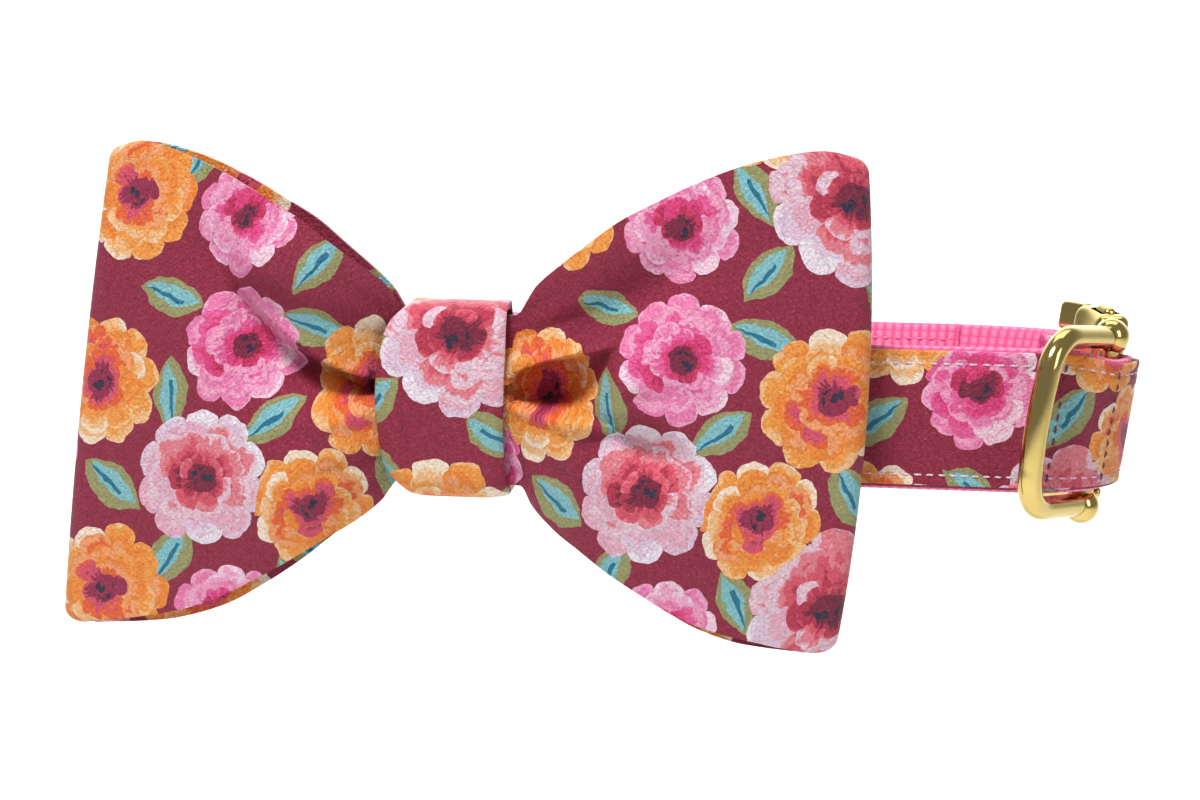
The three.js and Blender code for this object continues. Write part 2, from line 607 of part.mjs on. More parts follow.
// The bow's closed row of columns: along the front from left to right and back behind
function bowLoop() {
  const back = [...STATIONS].reverse();
  const columns = [
    ...back.map((reach) => ['left', true, reach]),
    ...STATIONS.slice(1).map((reach) => ['right', true, reach]),
    ...back.slice(1).map((reach) => ['right', false, reach]),
    ...STATIONS.slice(1, -1).map((reach) => ['left', false, reach]),
  ];
  const middle = columns.map(([wing, front, reach]) => {
    const rows = [];
    for (let row = 0; row <= BOW_ROWS; row += 1) {
      rows.push(wingPoint(wing, front, reach, 2 * row / BOW_ROWS - 1));
    }
    return rows;
  });
  return clothRing(middle, BOW_WALL);
}

// Closed section of the knot band, front to back round the waist and the strap
function knotSection() {
  const waistFront = LOOP_HALF_DEPTH + COVER_FACE + SECTIONS[0].front * BOW_FORWARD + BOW_WALL / 2;
  const frontY = -(waistFront + GAP + KNOT_WALL / 2);
  const backY = -(LOOP_HALF_DEPTH - WEBBING_THICK / 2 - GAP - KNOT_WALL / 2);
  const backTop = STRAP_WIDTH / 2 + 2 * GAP + KNOT_WALL / 2;
  const strapFace = -(LOOP_HALF_DEPTH + COVER_FACE);
  const section = new THREE.Path();
  section.moveTo(frontY, KNOT_BOTTOM + KNOT_BEND);
  section.lineTo(frontY, KNOT_TOP - KNOT_BEND);
  section.quadraticCurveTo(frontY, KNOT_TOP, frontY + KNOT_BEND, KNOT_TOP);
  section.lineTo(strapFace, KNOT_TOP);
  section.lineTo(backY - KNOT_BACK_BEND, backTop);
  section.quadraticCurveTo(backY, backTop, backY, backTop - KNOT_BACK_BEND);
  section.lineTo(backY, KNOT_BACK_BEND - backTop);
  section.quadraticCurveTo(backY, -backTop, backY - KNOT_BACK_BEND, -backTop);
  section.lineTo(frontY + KNOT_BEND, KNOT_BOTTOM);
  section.quadraticCurveTo(frontY, KNOT_BOTTOM, frontY, KNOT_BOTTOM + KNOT_BEND);
  const steps = [10, 4, 2, 2, 3, 4, 3, 3, 4];
  return { frontY, backY, points: section.curves.flatMap((curve, index) => curve.getPoints(steps[index]).slice(0, -1)) };
}

function knotBand() {
  const { frontY, backY, points } = knotSection();
  const height = KNOT_TOP - KNOT_BOTTOM;
  const middle = points.map((point) => {
    const share = THREE.MathUtils.clamp((point.y - KNOT_BOTTOM) / height, 0, 1);
    const frontness = smooth(0, 1, (backY - point.x) / (backY - frontY));
    const left = readTable(KNOT_EDGES, 'height', 'left', share);
    const right = readTable(KNOT_EDGES, 'height', 'right', share);
    const rows = [];
    for (let row = 0; row <= KNOT_COLUMNS; row += 1) {
      const across = row / KNOT_COLUMNS;
      const fromMiddle = 2 * across - 1;
      const bulge = KNOT_FRONT_BULGE * Math.sin(Math.PI * share) - KNOT_EDGE_ROLL * fromMiddle ** 4;
      const sag = KNOT_TOP_SAG * (1 - fromMiddle ** 2) * smooth(0.8, 1, share) * frontness;
      rows.push(new THREE.Vector3(
        BOW_X + KNOT_WIDTH * (left + (right - left) * across),
        point.x - bulge * frontness,
        point.y - sag,
      ));
    }
    return rows;
  });
  return clothRing(middle.reverse(), KNOT_WALL);
}

const cotton = new THREE.MeshStandardMaterial({ color: 0x8b2f48, roughness: 0.85, metalness: 0 });
const knotCotton = new THREE.MeshStandardMaterial({ color: 0xd98a5a, roughness: 0.85, metalness: 0 });
const coverCotton = new THREE.MeshStandardMaterial({ color: 0x7d2a42, roughness: 0.85, metalness: 0 });
const pinkWebbing = new THREE.MeshStandardMaterial({ color: 0xf0609a, roughness: 0.8, metalness: 0 });
const goldRing = new THREE.MeshStandardMaterial({ color: 0xc9a94b, roughness: 0.2, metalness: 1 });
const goldSocket = new THREE.MeshStandardMaterial({ color: 0xc4a449, roughness: 0.22, metalness: 1 });
const goldTongue = new THREE.MeshStandardMaterial({ color: 0xcdb055, roughness: 0.22, metalness: 1 });

function addMesh(group, name, geometry, material) {
  const mesh = new THREE.Mesh(geometry, material);
  mesh.name = name;
  group.add(mesh);
  return mesh;
}

const collar = new THREE.Group();
addMesh(collar, 'collar_webbing', webbing(), pinkWebbing);
addMesh(collar, 'collar_cover', cover(), coverCotton);
addMesh(collar, 'bow_loop', bowLoop(), cotton);
addMesh(collar, 'knot_band', knotBand(), knotCotton);
addMesh(collar, 'buckle_tongue', buckleTongue(), goldTongue);
addMesh(collar, 'buckle_socket', buckleSocket(), goldSocket);

// The ring's plane stands on the leaning bar and lies back on the strap beside it
const ring = addMesh(collar, 'd_ring', ringWithCorners(), goldRing);
const ringPlace = loopPoint(RING_BAR_PLACE, -RING_BAR_DEPTH);
const ringTurn = RING_BAR_TURN - Math.PI / 2 - RING_REST_TURN;
ring.position.set(ringPlace.x - RING_HANGS * Math.sin(LEAN), ringPlace.y, -RING_HANGS * Math.cos(LEAN));
ring.quaternion.setFromAxisAngle(new THREE.Vector3(0, 1, 0), LEAN);
ring.rotateZ(ringTurn);

export default collar;
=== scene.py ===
"""Pet bow tie collar: the cloth, hardware, floor, lights and camera, in metres."""
import logging
import math
from collections.abc import Callable, Sequence
from dataclasses import dataclass, field
from enum import Enum
from functools import partial
from typing import NamedTuple

import bpy
import numpy as np
from mathutils import Matrix


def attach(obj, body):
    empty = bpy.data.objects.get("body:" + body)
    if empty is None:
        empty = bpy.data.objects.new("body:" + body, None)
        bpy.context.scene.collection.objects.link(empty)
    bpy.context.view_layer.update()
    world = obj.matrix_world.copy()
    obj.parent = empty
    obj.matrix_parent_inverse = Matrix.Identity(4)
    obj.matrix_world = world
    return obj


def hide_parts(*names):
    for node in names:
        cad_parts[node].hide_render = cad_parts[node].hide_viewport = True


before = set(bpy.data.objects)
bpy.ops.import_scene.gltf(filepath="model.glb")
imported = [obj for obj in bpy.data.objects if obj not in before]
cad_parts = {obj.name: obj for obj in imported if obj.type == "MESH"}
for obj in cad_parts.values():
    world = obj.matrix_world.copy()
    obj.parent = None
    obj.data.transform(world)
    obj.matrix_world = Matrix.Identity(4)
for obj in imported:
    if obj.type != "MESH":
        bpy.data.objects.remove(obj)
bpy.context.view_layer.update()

MM = 0.001
LOG = logging.getLogger("collar")
Socket = bpy.types.NodeSocket


class Body(Enum):
    """The two bodies that a piece can ride on."""

    COLLAR = "collar"
    RING = "ring"


class Slot(Enum):
    """The record's material slots."""

    COTTON = "printed_cotton"
    WEBBING = "webbing"
    METAL = "gold_metal"


def linear(colour: str) -> tuple[float, float, float, float]:
    """Turns an sRGB hex colour to linear light, with an alpha of 1."""
    shares = [int(colour[i:i + 2], 16) / 255 for i in (1, 3, 5)]
    return (*(c / 12.92 if c <= 0.04045 else ((c + 0.055) / 1.055) ** 2.4 for c in shares), 1.0)


def smooth(low: float, high: float, value: np.ndarray | float) -> np.ndarray:
    """Rises from 0 at low to 1 at high on the curve 3t squared minus 2t cubed."""
    t = np.clip((np.asarray(value, float) - low) / (high - low), 0, 1)
    return t * t * (3 - 2 * t)


def unit(vectors: np.ndarray) -> np.ndarray:
    """Divides each row by its length."""
    return vectors / np.linalg.norm(vectors, axis=-1, keepdims=True)


def run_of(steps: np.ndarray) -> np.ndarray:
    """Adds up the lengths of steps, one a row, from 0 at the first point."""
    return np.concatenate([[0], np.cumsum(np.linalg.norm(steps, axis=-1))])


def read_table(keys: list[float], values: list[float], place: np.ndarray) -> np.ndarray:
    """Reads a table on a cubic curve through its rows.

    Args:
        keys: The rows' places, rising.
        values: The rows' values.
        place: Where to read.

    Returns:
        The Hermite cubic between the two rows round each place, whose slope at a row is that
        of the line between the rows beside it.
    """
    k, v = np.array(keys, float), np.array(values, float)
    last = len(k) - 1
    before, after = np.maximum(np.arange(last + 1) - 1, 0), np.minimum(np.arange(last + 1) + 1, last)
    slope = (v[after] - v[before]) / (k[after] - k[before])
    row = np.clip(np.searchsorted(k, place, side="left") - 1, 0, last - 1)
    span = k[row + 1] - k[row]
    t = np.clip((place - k[row]) / span, 0, 1)
    rise = (3 - 2 * t) * t * t
    return (v[row] * (1 - rise) + v[row + 1] * rise + t * (1 - t) ** 2 * span * slope[row]
            + t * t * (t - 1) * span * slope[row + 1])


def grid_faces(rows: int, columns: int, wrap_rows: bool = False, wrap_columns: bool = False) -> np.ndarray:
    """Lists the quads of a grid of points, row after row.

    Args:
        rows: Number of rows of points.
        columns: Number of points in a row.
        wrap_rows: Joins the last row to the first.
        wrap_columns: Joins the last column to the first.

    Returns:
        One row of four point numbers a quad.
    """
    r, c = np.meshgrid(np.arange(rows if wrap_rows else rows - 1),
                       np.arange(columns if wrap_columns else columns - 1), indexing="ij")
    r, c = r.ravel(), c.ravel()
    nr, nc = (r + 1) % rows, (c + 1) % columns
    return np.stack([r * columns + c, nr * columns + c, nr * columns + nc, r * columns + nc], 1)


def build_mesh(name: str, points: np.ndarray, faces: list[list[int]] | np.ndarray,
               corner_uv: np.ndarray | None = None, turned: bool = False) -> bpy.types.Object:
    """Makes a smooth-shaded mesh object at the origin.

    Args:
        name: The object's name.
        points: Points in millimetres, one a row.
        faces: Point numbers of each face.
        corner_uv: Flat place of each face corner in millimetres, in the faces' order.
        turned: Turns every face over.

    Returns:
        The new object, linked to the scene.
    """
    way = -1 if turned else 1
    listed = [[int(number) for number in face][::way] for face in faces]
    mesh = bpy.data.meshes.new(name)
    mesh.from_pydata((np.asarray(points, float) * MM).tolist(), [], listed)
    if corner_uv is not None:
        parts = np.split(corner_uv * MM, np.cumsum([len(face) for face in listed])[:-1])
        places = np.concatenate([part[::way] for part in parts])
        mesh.uv_layers.new(name="cloth").data.foreach_set("uv", places.ravel())
    mesh.polygons.foreach_set("use_smooth", np.ones(len(mesh.polygons), bool))
    mesh.update()
    obj = bpy.data.objects.new(name, mesh)
    bpy.context.scene.collection.objects.link(obj)
    return obj


def add_modifier(obj: bpy.types.Object, kind: str, **settings: object) -> None:
    """Adds a modifier with its settings."""
    made = obj.modifiers.new(kind.title(), kind)
    for key, value in settings.items():
        setattr(made, key, value)


def thicken(obj: bpy.types.Object, wall: float) -> None:
    """Gives a cloth surface its wall in millimetres, half to each side, and rounds its cut edges."""
    add_modifier(obj, "SOLIDIFY", thickness=wall * MM, offset=0.0, use_rim=True)
    add_modifier(obj, "BEVEL", width=0.42 * wall * MM, segments=3, angle_limit=math.radians(60))


def place_piece(obj: bpy.types.Object, body: Body, node: str | None,
                material: bpy.types.Material) -> None:
    """Gives a piece its body and finish, hides the part of the node that it stands for, and reports it.

    Args:
        obj: The piece.
        body: The body it rides on.
        node: The node it stands for, if any.
        material: Its finish.
    """
    obj.data.materials.clear()
    obj.data.materials.append(material)
    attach(obj, body.value)
    if node:
        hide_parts(node)
    LOG.info("%s: %d faces on %s", obj.name, len(obj.data.polygons), body.value)


def fill_inputs(node: bpy.types.Node, values: dict[str | int, object]) -> None:
    """Links or sets a node's inputs, by name or number."""
    for key, value in values.items():
        if isinstance(value, Socket):
            node.id_data.links.new(value, node.inputs[key])
        else:
            node.inputs[key].default_value = value


def add_node(tree: bpy.types.NodeTree, kind: str, *values: object, inputs: dict[str, object] | None = None,
             stops: Sequence[tuple[float, str]] = (), **settings: object) -> Socket:
    """Adds a node with its settings and links.

    Args:
        tree: The node tree.
        kind: The node's type, less the words that all of them start with.
        *values: Sockets to link or values to set, for the inputs in use, in order.
        inputs: The same for inputs by name.
        stops: Place and hex colour of each stop of a colour ramp.
        **settings: The node's own properties.

    Returns:
        The first output in use. Its node holds the others.
    """
    node = tree.nodes.new("ShaderNode" + kind)
    for key, value in settings.items():
        setattr(node, key, value)
    used = [number for number, socket in enumerate(node.inputs) if socket.enabled]
    fill_inputs(node, {**dict(zip(used, values)), **(inputs or {})})
    for number, (at, colour) in enumerate(stops):
        elements = node.color_ramp.elements
        element = elements[number] if number < len(elements) else elements.new(at)
        element.position, element.color = at, linear(colour)
    return next(socket for socket in node.outputs if socket.enabled)


Add = Callable[..., Socket]


def new_material(name: str) -> tuple[bpy.types.Material, bpy.types.Node, Add]:
    """Makes a material.

    Args:
        name: The real material's name.

    Returns:
        The material, its main shader, and the function that adds a node to its tree.
    """
    material = bpy.data.materials.new(name)
    material.use_nodes = True
    tree = material.node_tree
    return material, tree.nodes["Principled BSDF"], partial(add_node, tree)


class Motif(NamedTuple):
    """A flower or leaf of the print: place and radius in millimetres, turn in degrees, colours."""

    x: float
    y: float
    radius: float
    turn: float
    kind: int = 0


# One repeat of the print. A flower lower in the table lies over those above it
REPEAT = (86.0, 71.0)
FLOWERS = [Motif(12.0, 13.0, 12.4, 20, 0), Motif(35.0, 9.5, 10.2, 140, 1), Motif(64.0, 14.0, 14.6, 75, 2),
           Motif(30.0, 34.5, 12.8, 220, 2), Motif(50.0, 30.0, 11.2, 300, 0), Motif(80.5, 38.0, 10.6, 10, 1),
           Motif(8.5, 50.5, 12.0, 100, 0), Motif(35.5, 57.5, 11.0, 180, 1), Motif(61.0, 51.0, 13.0, 260, 0)]
LEAVES = [Motif(24.5, 20.0, 7.0, 62), Motif(47.5, 15.5, 6.6, 118), Motif(80.5, 20.5, 6.6, 30),
          Motif(12.5, 32.0, 7.2, -35), Motif(42.5, 45.0, 6.4, 35), Motif(65.5, 34.0, 7.0, -60),
          Motif(23.0, 49.0, 6.6, 95), Motif(49.0, 61.5, 6.8, -20), Motif(76.5, 57.0, 7.2, 25),
          Motif(21.5, 66.0, 6.6, -15), Motif(49.5, 1.5, 6.4, 50), Motif(70.5, 67.5, 6.4, 140)]


class PetalRing(NamedTuple):
    """A ring of petals: its edge as a share of the radius, its petals' number, turn, tone and spread."""

    edge: float
    petals: float
    turn: float
    tone: float
    spread: float


@dataclass(frozen=True)
class PrintColours:
    """Colours of the floral print. Each flower's run from its outermost petals to its heart."""

    ground: str = "#9E2845"
    ground_dark: str = "#801A38"
    palettes: tuple[tuple[str, ...], ...] = (
        ("#F7E0C8", "#F6BE85", "#F39C45", "#F08833", "#F3A06A", "#E9642F", "#D9506A", "#96284A"),
        ("#F6CFE0", "#F2A5C8", "#EC7FB0", "#F0A0C0", "#E65C98", "#E03E7C", "#C42C5C", "#7E2040"),
        ("#EDE0EA", "#E2C4D8", "#E6ACC0", "#E8C4D2", "#E57F8C", "#D95468", "#B8324E", "#7A1F3A"))
    stamen: str = "#33263F"
    leaf: str = "#9A9866"
    leaf_light: str = "#83BFC6"
    leaf_vein: str = "#1F7391"


@dataclass(frozen=True)
class PrintedCotton:
    """Plain-weave quilting cotton with a printed floral: a fine thread grain, faintly polished."""

    name: str = "plain weave printed cotton"
    colours: PrintColours = field(default_factory=PrintColours)
    # Real threads lie 0.42 mm apart. Drawn at 0.55 mm, so that the grain shows in the render
    thread: float = 0.55
    roughness: float = 0.5
    gloss: float = 0.32
    sheen: float = 0.04
    sheen_roughness: float = 0.45
    # How far the print's outlines stray, and the depths of the crinkle and of the thread grain, in mm
    uneven: float = 2.0
    crinkle: float = 0.95
    grain: float = 0.12
    # A flower keeps what lies within this share of its radius
    flower_over: float = 0.84
    # A petal's reach as shares of its ring's edge, its shading's depth, and a flower's heart
    petal_root: float = 0.78
    petal_chance: float = 0.07
    petal_arch: float = 0.16
    petal_depth: float = 0.24
    petal_shade: float = 0.20
    stroke: float = 0.36
    side_light: float = 0.10
    blend: float = 0.09
    heart: float = 0.16
    # A leaf's half width, its light part's width and inset, and where its vein ends
    leaf_width: float = 0.5
    light_width: float = 0.36
    light_inset: float = 0.11
    light_shift: float = 0.07
    vein_end: float = 0.35
    rings: tuple[PetalRing, ...] = (
        PetalRing(1.00, 10.0, 0.0, 0.20, 0.46), PetalRing(0.83, 9.0, 0.37, 0.33, 0.50),
        PetalRing(0.66, 8.0, 0.81, 0.46, 0.50), PetalRing(0.50, 7.0, 0.22, 0.60, 0.44),
        PetalRing(0.36, 6.0, 0.63, 0.78, 0.30), PetalRing(0.23, 5.0, 0.10, 0.98, 0.14))

    def nearest(self, add: Add, place: Socket, motifs: list[Motif], over: float) -> tuple[Socket, Socket]:
        """Finds the motif on top at each place, in a table that repeats for ever.

        A motif takes a place that lies closer to it than to the last one, or within a share of its
        own radius.

        Args:
            add: Adds a node.
            place: Flat place on the cloth, in metres.
            motifs: The motifs, the top ones last.
            over: That share of the radius.

        Returns:
            The place in that motif's own frame, whose edge is at 1 and whose third value is 0,
            and a vector that holds the motif's kind and number.
        """
        half = (REPEAT[0] / 2 * MM, REPEAT[1] / 2 * MM, 1.0)
        best = best_length = marks = None
        for number, motif in enumerate(motifs):
            moved = add("VectorMath", place, (motif.x * MM, motif.y * MM, 0), operation="SUBTRACT")
            wrapped = add("VectorMath", moved, half, tuple(-h for h in half), operation="WRAP")
            scale = 1 / (motif.radius * MM)
            local = add("Mapping", wrapped, (0, 0, 0), (0, 0, math.radians(-motif.turn)), (scale,) * 3)
            length = add("VectorMath", local, operation="LENGTH")
            mark = (float(motif.kind), float(number), 0.0)
            if best is None:
                best, best_length, marks = local, length, add("CombineXYZ", *mark)
                continue
            limit = add("Math", best_length, over, operation="MAXIMUM")
            chosen = add("Math", length, limit, operation="LESS_THAN")
            best_length = add("Mix", chosen, best_length, length, data_type="FLOAT")
            best = add("Mix", chosen, best, local, data_type="VECTOR")
            marks = add("Mix", chosen, marks, mark, data_type="VECTOR")
        return best, marks

    def petals(self, add: Add, ring: int, radius: Socket, angle: Socket,
               number: Socket) -> tuple[Socket, Socket]:
        """Paints one ring of round petals.

        A petal's edge is its ring's radius less a share that grows to its sides as one minus the
        root of a half sine. Its tone is the ring's own plus a chance of its own, deeper towards
        the petals that lie over it and lighter at its rim.

        Args:
            add: Adds a node.
            ring: The ring's number.
            radius: Distance from the flower's middle.
            angle: Turn round the flower, in whole turns.
            number: The flower's number.

        Returns:
            The tone, and a mask that is 1 inside the ring's edge.
        """
        edge, petals, turn, base, spread = self.rings[ring]
        around = add("Math", angle, petals, turn + petals, operation="MULTIPLY_ADD")
        petal = add("Math", add("Math", around, petals, operation="MODULO"), operation="FLOOR")
        chance = add("TexWhiteNoise", add("CombineXYZ", petal, float(ring), number))
        across = add("Math", add("Math", around, operation="FRACT"), math.pi, operation="MULTIPLY")
        arch = add("Math", add("Math", across, operation="SINE"), 0.5, operation="POWER")
        root = add("Math", chance, self.petal_chance * edge, self.petal_root * edge, operation="MULTIPLY_ADD")
        reach = add("Math", arch, self.petal_arch * edge, root, operation="MULTIPLY_ADD")
        within = add("Math", reach, radius, operation="SUBTRACT")
        within = add("Math", within, self.petal_depth, operation="DIVIDE")
        depth = add("Math", add("Math", within, 0.0, operation="MAXIMUM"), 0.8, operation="POWER")
        rim = add("Math", depth, self.petal_shade, base - 0.08, operation="MULTIPLY_ADD")
        own = add("Math", chance, 0.5, operation="SUBTRACT")
        mask = add("Math", radius, reach, operation="LESS_THAN")
        return add("Math", own, spread, rim, operation="MULTIPLY_ADD"), mask

    def flower(self, add: Add, local: Socket, marks: Socket) -> tuple[Socket, Socket]:
        """Paints a flower of rings of petals, each ring over the one outside it, with brush strokes.

        Args:
            add: Adds a node.
            local: Place in the flower's own frame.
            marks: The flower's kind and number.

        Returns:
            The colour, and a mask that is 1 inside the flower.
        """
        x, y, _ = add("SeparateXYZ", local).node.outputs
        kind, number, _ = add("SeparateXYZ", marks).node.outputs
        radius = add("VectorMath", local, operation="LENGTH")
        angle = add("Math", add("Math", y, x, operation="ARCTAN2"), 0.5 / math.pi, operation="MULTIPLY")
        tone, inside = self.petals(add, 0, radius, angle, number)
        for ring in range(1, len(self.rings)):
            painted, mask = self.petals(add, ring, radius, angle, number)
            tone = add("Mix", mask, tone, painted, data_type="FLOAT")
        along = add("Math", radius, 2.0, operation="MULTIPLY")
        brush = add("CombineXYZ", along, add("Math", angle, 20.0, operation="MULTIPLY"), number)
        stroke = add("TexNoise", brush, 1.7, 2.0)
        tone = add("Math", x, self.side_light, tone, operation="MULTIPLY_ADD")
        stroke = add("Math", stroke, self.stroke, -self.stroke / 2, operation="MULTIPLY_ADD")
        tone = add("Math", tone, stroke, operation="ADD")
        colour = None
        for index, palette in enumerate(self.colours.palettes):
            shades = [(i / len(palette), shade) for i, shade in enumerate(palette)]
            stops = [(at + step, shade) for at, shade in shades for step in (0.0, self.blend)]
            painted = add("ValToRGB", tone, stops=stops)
            if index:
                above = add("Math", kind, index - 0.5, operation="GREATER_THAN")
                painted = add("Mix", above, colour, painted, data_type="RGBA")
            colour = painted
        spots = add("Math", add("TexVoronoi", local, 6.5), 0.5, operation="LESS_THAN")
        heart = add("Math", radius, self.heart, operation="LESS_THAN")
        stamen = add("Math", spots, heart, operation="MULTIPLY")
        return add("Mix", stamen, colour, linear(self.colours.stamen), data_type="RGBA"), inside

    def leaf(self, add: Add, local: Socket) -> tuple[Socket, Socket]:
        """Paints a pointed leaf: the height is less than a share of one minus the length squared.

        Args:
            add: Adds a node.
            local: Place in the leaf's own frame.

        Returns:
            The colour, and a mask that is 1 inside the leaf.
        """
        colours = self.colours
        x, y, _ = add("SeparateXYZ", local).node.outputs
        across = add("Math", 1.0, add("Math", x, x, operation="MULTIPLY"), operation="SUBTRACT")
        away = add("Math", y, operation="ABSOLUTE")
        half = add("Math", across, self.leaf_width, operation="MULTIPLY")
        outer = add("Math", away, half, operation="LESS_THAN")
        aside = add("Math", add("Math", y, self.light_shift, operation="SUBTRACT"), operation="ABSOLUTE")
        width = add("Math", across, self.light_width, -self.light_inset, operation="MULTIPLY_ADD")
        inner = add("Math", aside, width, operation="LESS_THAN")
        thin = add("Math", away, add("Math", width, 0.25, operation="MULTIPLY"), operation="LESS_THAN")
        vein = add("Math", thin, add("Math", x, self.vein_end, operation="LESS_THAN"), operation="MULTIPLY")
        colour = add("Mix", inner, linear(colours.leaf), linear(colours.leaf_light), data_type="RGBA")
        return add("Mix", vein, colour, linear(colours.leaf_vein), data_type="RGBA"), outer

    def build(self) -> bpy.types.Material:
        """Makes the material on the cloth's own flat places, the print's outlines a little uneven.

        The weave's height is the product of one cosine along and one across the threads. Thread
        tops catch more of the print's ink than the gaps between the threads, and the gaps also carry painted
        shade.
        """
        colours = self.colours
        material, shader, add = new_material(self.name)
        place = add("UVMap", uv_map="cloth")
        sides = [add("Math", side, math.pi / (self.thread * MM), operation="MULTIPLY")
                 for side in add("SeparateXYZ", place).node.outputs[:2]]
        threads = [add("Math", side, operation="COSINE") for side in sides]
        weave = add("Math", add("Math", *threads, operation="MULTIPLY"), 0.5, 0.5, operation="MULTIPLY_ADD")
        drift = add("TexNoise", place, 260.0, 2.0).node.outputs["Color"]
        centred = add("VectorMath", drift, (0.5, 0.5, 0.5), operation="SUBTRACT")
        stray = (self.uneven * MM, self.uneven * MM, 0)
        print_place = add("VectorMath", centred, stray, place, operation="MULTIPLY_ADD")
        cloud = add("Math", add("TexNoise", place, 900.0, 3.0), 0.9, operation="MULTIPLY")
        colour = add("Mix", cloud, linear(colours.ground), linear(colours.ground_dark), data_type="RGBA")
        leaf_colour, leaf_mask = self.leaf(add, self.nearest(add, print_place, LEAVES, 0.0)[0])
        colour = add("Mix", leaf_mask, colour, leaf_colour, data_type="RGBA")
        flowers = self.nearest(add, print_place, FLOWERS, self.flower_over)
        flower_colour, flower_mask = self.flower(add, *flowers)
        colour = add("Mix", flower_mask, colour, flower_colour, data_type="RGBA")
        wear = add("Math", add("TexNoise", place, 1500.0, 3.0), 0.18, operation="MULTIPLY")
        # Painted shade and thinner ink in the gaps between the threads, with random speckle from the noise
        gaps = add("Math", add("Math", weave, 0.09, 0.82, operation="MULTIPLY_ADD"), wear, operation="ADD")
        grey = add("CombineXYZ", gaps, gaps, gaps)
        colour = add("Mix", 1.0, colour, grey, data_type="RGBA", blend_type="MULTIPLY")
        slub = add("TexNoise", place, 1600.0, 3.0, 0.62, inputs={"Distortion": 0.8})
        crinkle = add("Bump", 1.0, self.crinkle * MM, inputs={"Height": slub})
        grain = add("Bump", 0.5, self.grain * MM, inputs={"Height": weave, "Normal": crinkle})
        fill_inputs(shader, {"Base Color": colour, "Roughness": self.roughness, "Normal": grain,
                             "Specular IOR Level": self.gloss, "Sheen Weight": self.sheen,
                             "Sheen Roughness": self.sheen_roughness})
        return material


@dataclass(frozen=True)
class WovenWebbing:
    """Polyester webbing: soft sheen, raised cross ribs and rows of over and under threads."""

    name: str = "ribbed polyester webbing"
    light: str = "#F48DB4"
    middle: str = "#F0609A"
    dark: str = "#DF3F7E"
    rib: float = 1.7
    row: float = 1.5
    # How far each row's ribs lie past those of the last, in turns of the ribs' sine
    stagger: float = 0.2
    depth: float = 0.3
    roughness: float = 0.62
    sheen: float = 0.35

    def build(self) -> bpy.types.Material:
        """Makes the material, with ribs as the size of a sine along the strap, rounded row by row."""
        material, shader, add = new_material(self.name)
        place = add("UVMap", uv_map="cloth")
        x, y, _ = add("SeparateXYZ", place).node.outputs
        row = add("Math", y, math.pi / (self.row * MM), operation="MULTIPLY")
        whole = add("Math", add("Math", row, math.pi, operation="DIVIDE"), operation="FLOOR")
        step = add("Math", whole, self.stagger, operation="MULTIPLY")
        along = add("Math", x, math.pi / (self.rib * MM), step, operation="MULTIPLY_ADD")
        rib = add("Math", add("Math", along, operation="SINE"), operation="ABSOLUTE")
        across = add("Math", add("Math", row, operation="SINE"), operation="ABSOLUTE")
        height = add("Math", rib, add("Math", across, 0.3, operation="POWER"), operation="MULTIPLY")
        fuzz = add("TexNoise", place, 2600.0, 2.0)
        fuzz = add("Math", fuzz, 0.35, operation="MULTIPLY")
        # Painted shade and light: darker down between the ribs and rows, lighter on their tops, with random
        # fuzz
        rib_shade_and_fuzz = add("Math", height, 0.7, fuzz, operation="MULTIPLY_ADD")
        colour = add("ValToRGB", rib_shade_and_fuzz, stops=[(0.05, self.dark), (0.45, self.middle), (0.95, self.light)])
        bump = add("Bump", 0.8, self.depth * MM, inputs={"Height": height})
        fill_inputs(shader, {"Base Color": colour, "Roughness": self.roughness, "Sheen Weight": self.sheen,
                             "Normal": bump})
        return material


@dataclass(frozen=True)
class SewingThread:
    """Twisted polyester thread: a slight shine with a slanting ply."""

    name: str = "polyester sewing thread"
    colour: str = "#D9C3CE"
    shade: str = "#B89AA8"
    ply: float = 0.08
    roughness: float = 0.55

    def build(self) -> bpy.types.Material:
        """Makes the material, with the ply as slanting bands."""
        material, shader, add = new_material(self.name)
        place = add("TexCoord").node.outputs["Object"]
        ply = add("TexWave", place, 700.0, 1.0, bands_direction="DIAGONAL").node.outputs["Fac"]
        # Painted shade: the ply's grooves take the shade colour and its tops the thread's own colour
        colour = add("ValToRGB", ply, stops=[(0.0, self.shade), (0.6, self.colour)])
        bump = add("Bump", 0.4, self.ply * MM, inputs={"Height": ply})
        fill_inputs(shader, {"Base Color": colour, "Roughness": self.roughness, "Normal": bump})
        return material


@dataclass(frozen=True)
class GoldPlating:
    """Cast zinc, polished and plated gold: bright clear reflections with faint rub marks."""

    name: str = "polished gold plated zinc"
    colour: str = "#DCC47C"
    worn: str = "#C8AD62"
    roughness: float = 0.07
    rub: float = 0.12
    wave: float = 0.2

    def build(self) -> bpy.types.Material:
        """Makes the material, with fine unevenness in its shine."""
        material, shader, add = new_material(self.name)
        place = add("TexCoord").node.outputs["Object"]
        cloud = add("TexNoise", place, 220.0, 4.0)
        worn = add("Math", cloud, 0.6, operation="MULTIPLY")
        colour = add("Mix", worn, linear(self.colour), linear(self.worn), data_type="RGBA")
        shine = add("Math", cloud, self.rub, self.roughness, operation="MULTIPLY_ADD")
        bump = add("Bump", 0.12, self.wave * MM, inputs={"Height": add("TexNoise", place, 420.0, 1.0)})
        fill_inputs(shader, {"Base Color": colour, "Metallic": 1.0, "Roughness": shine, "Normal": bump})
        return material


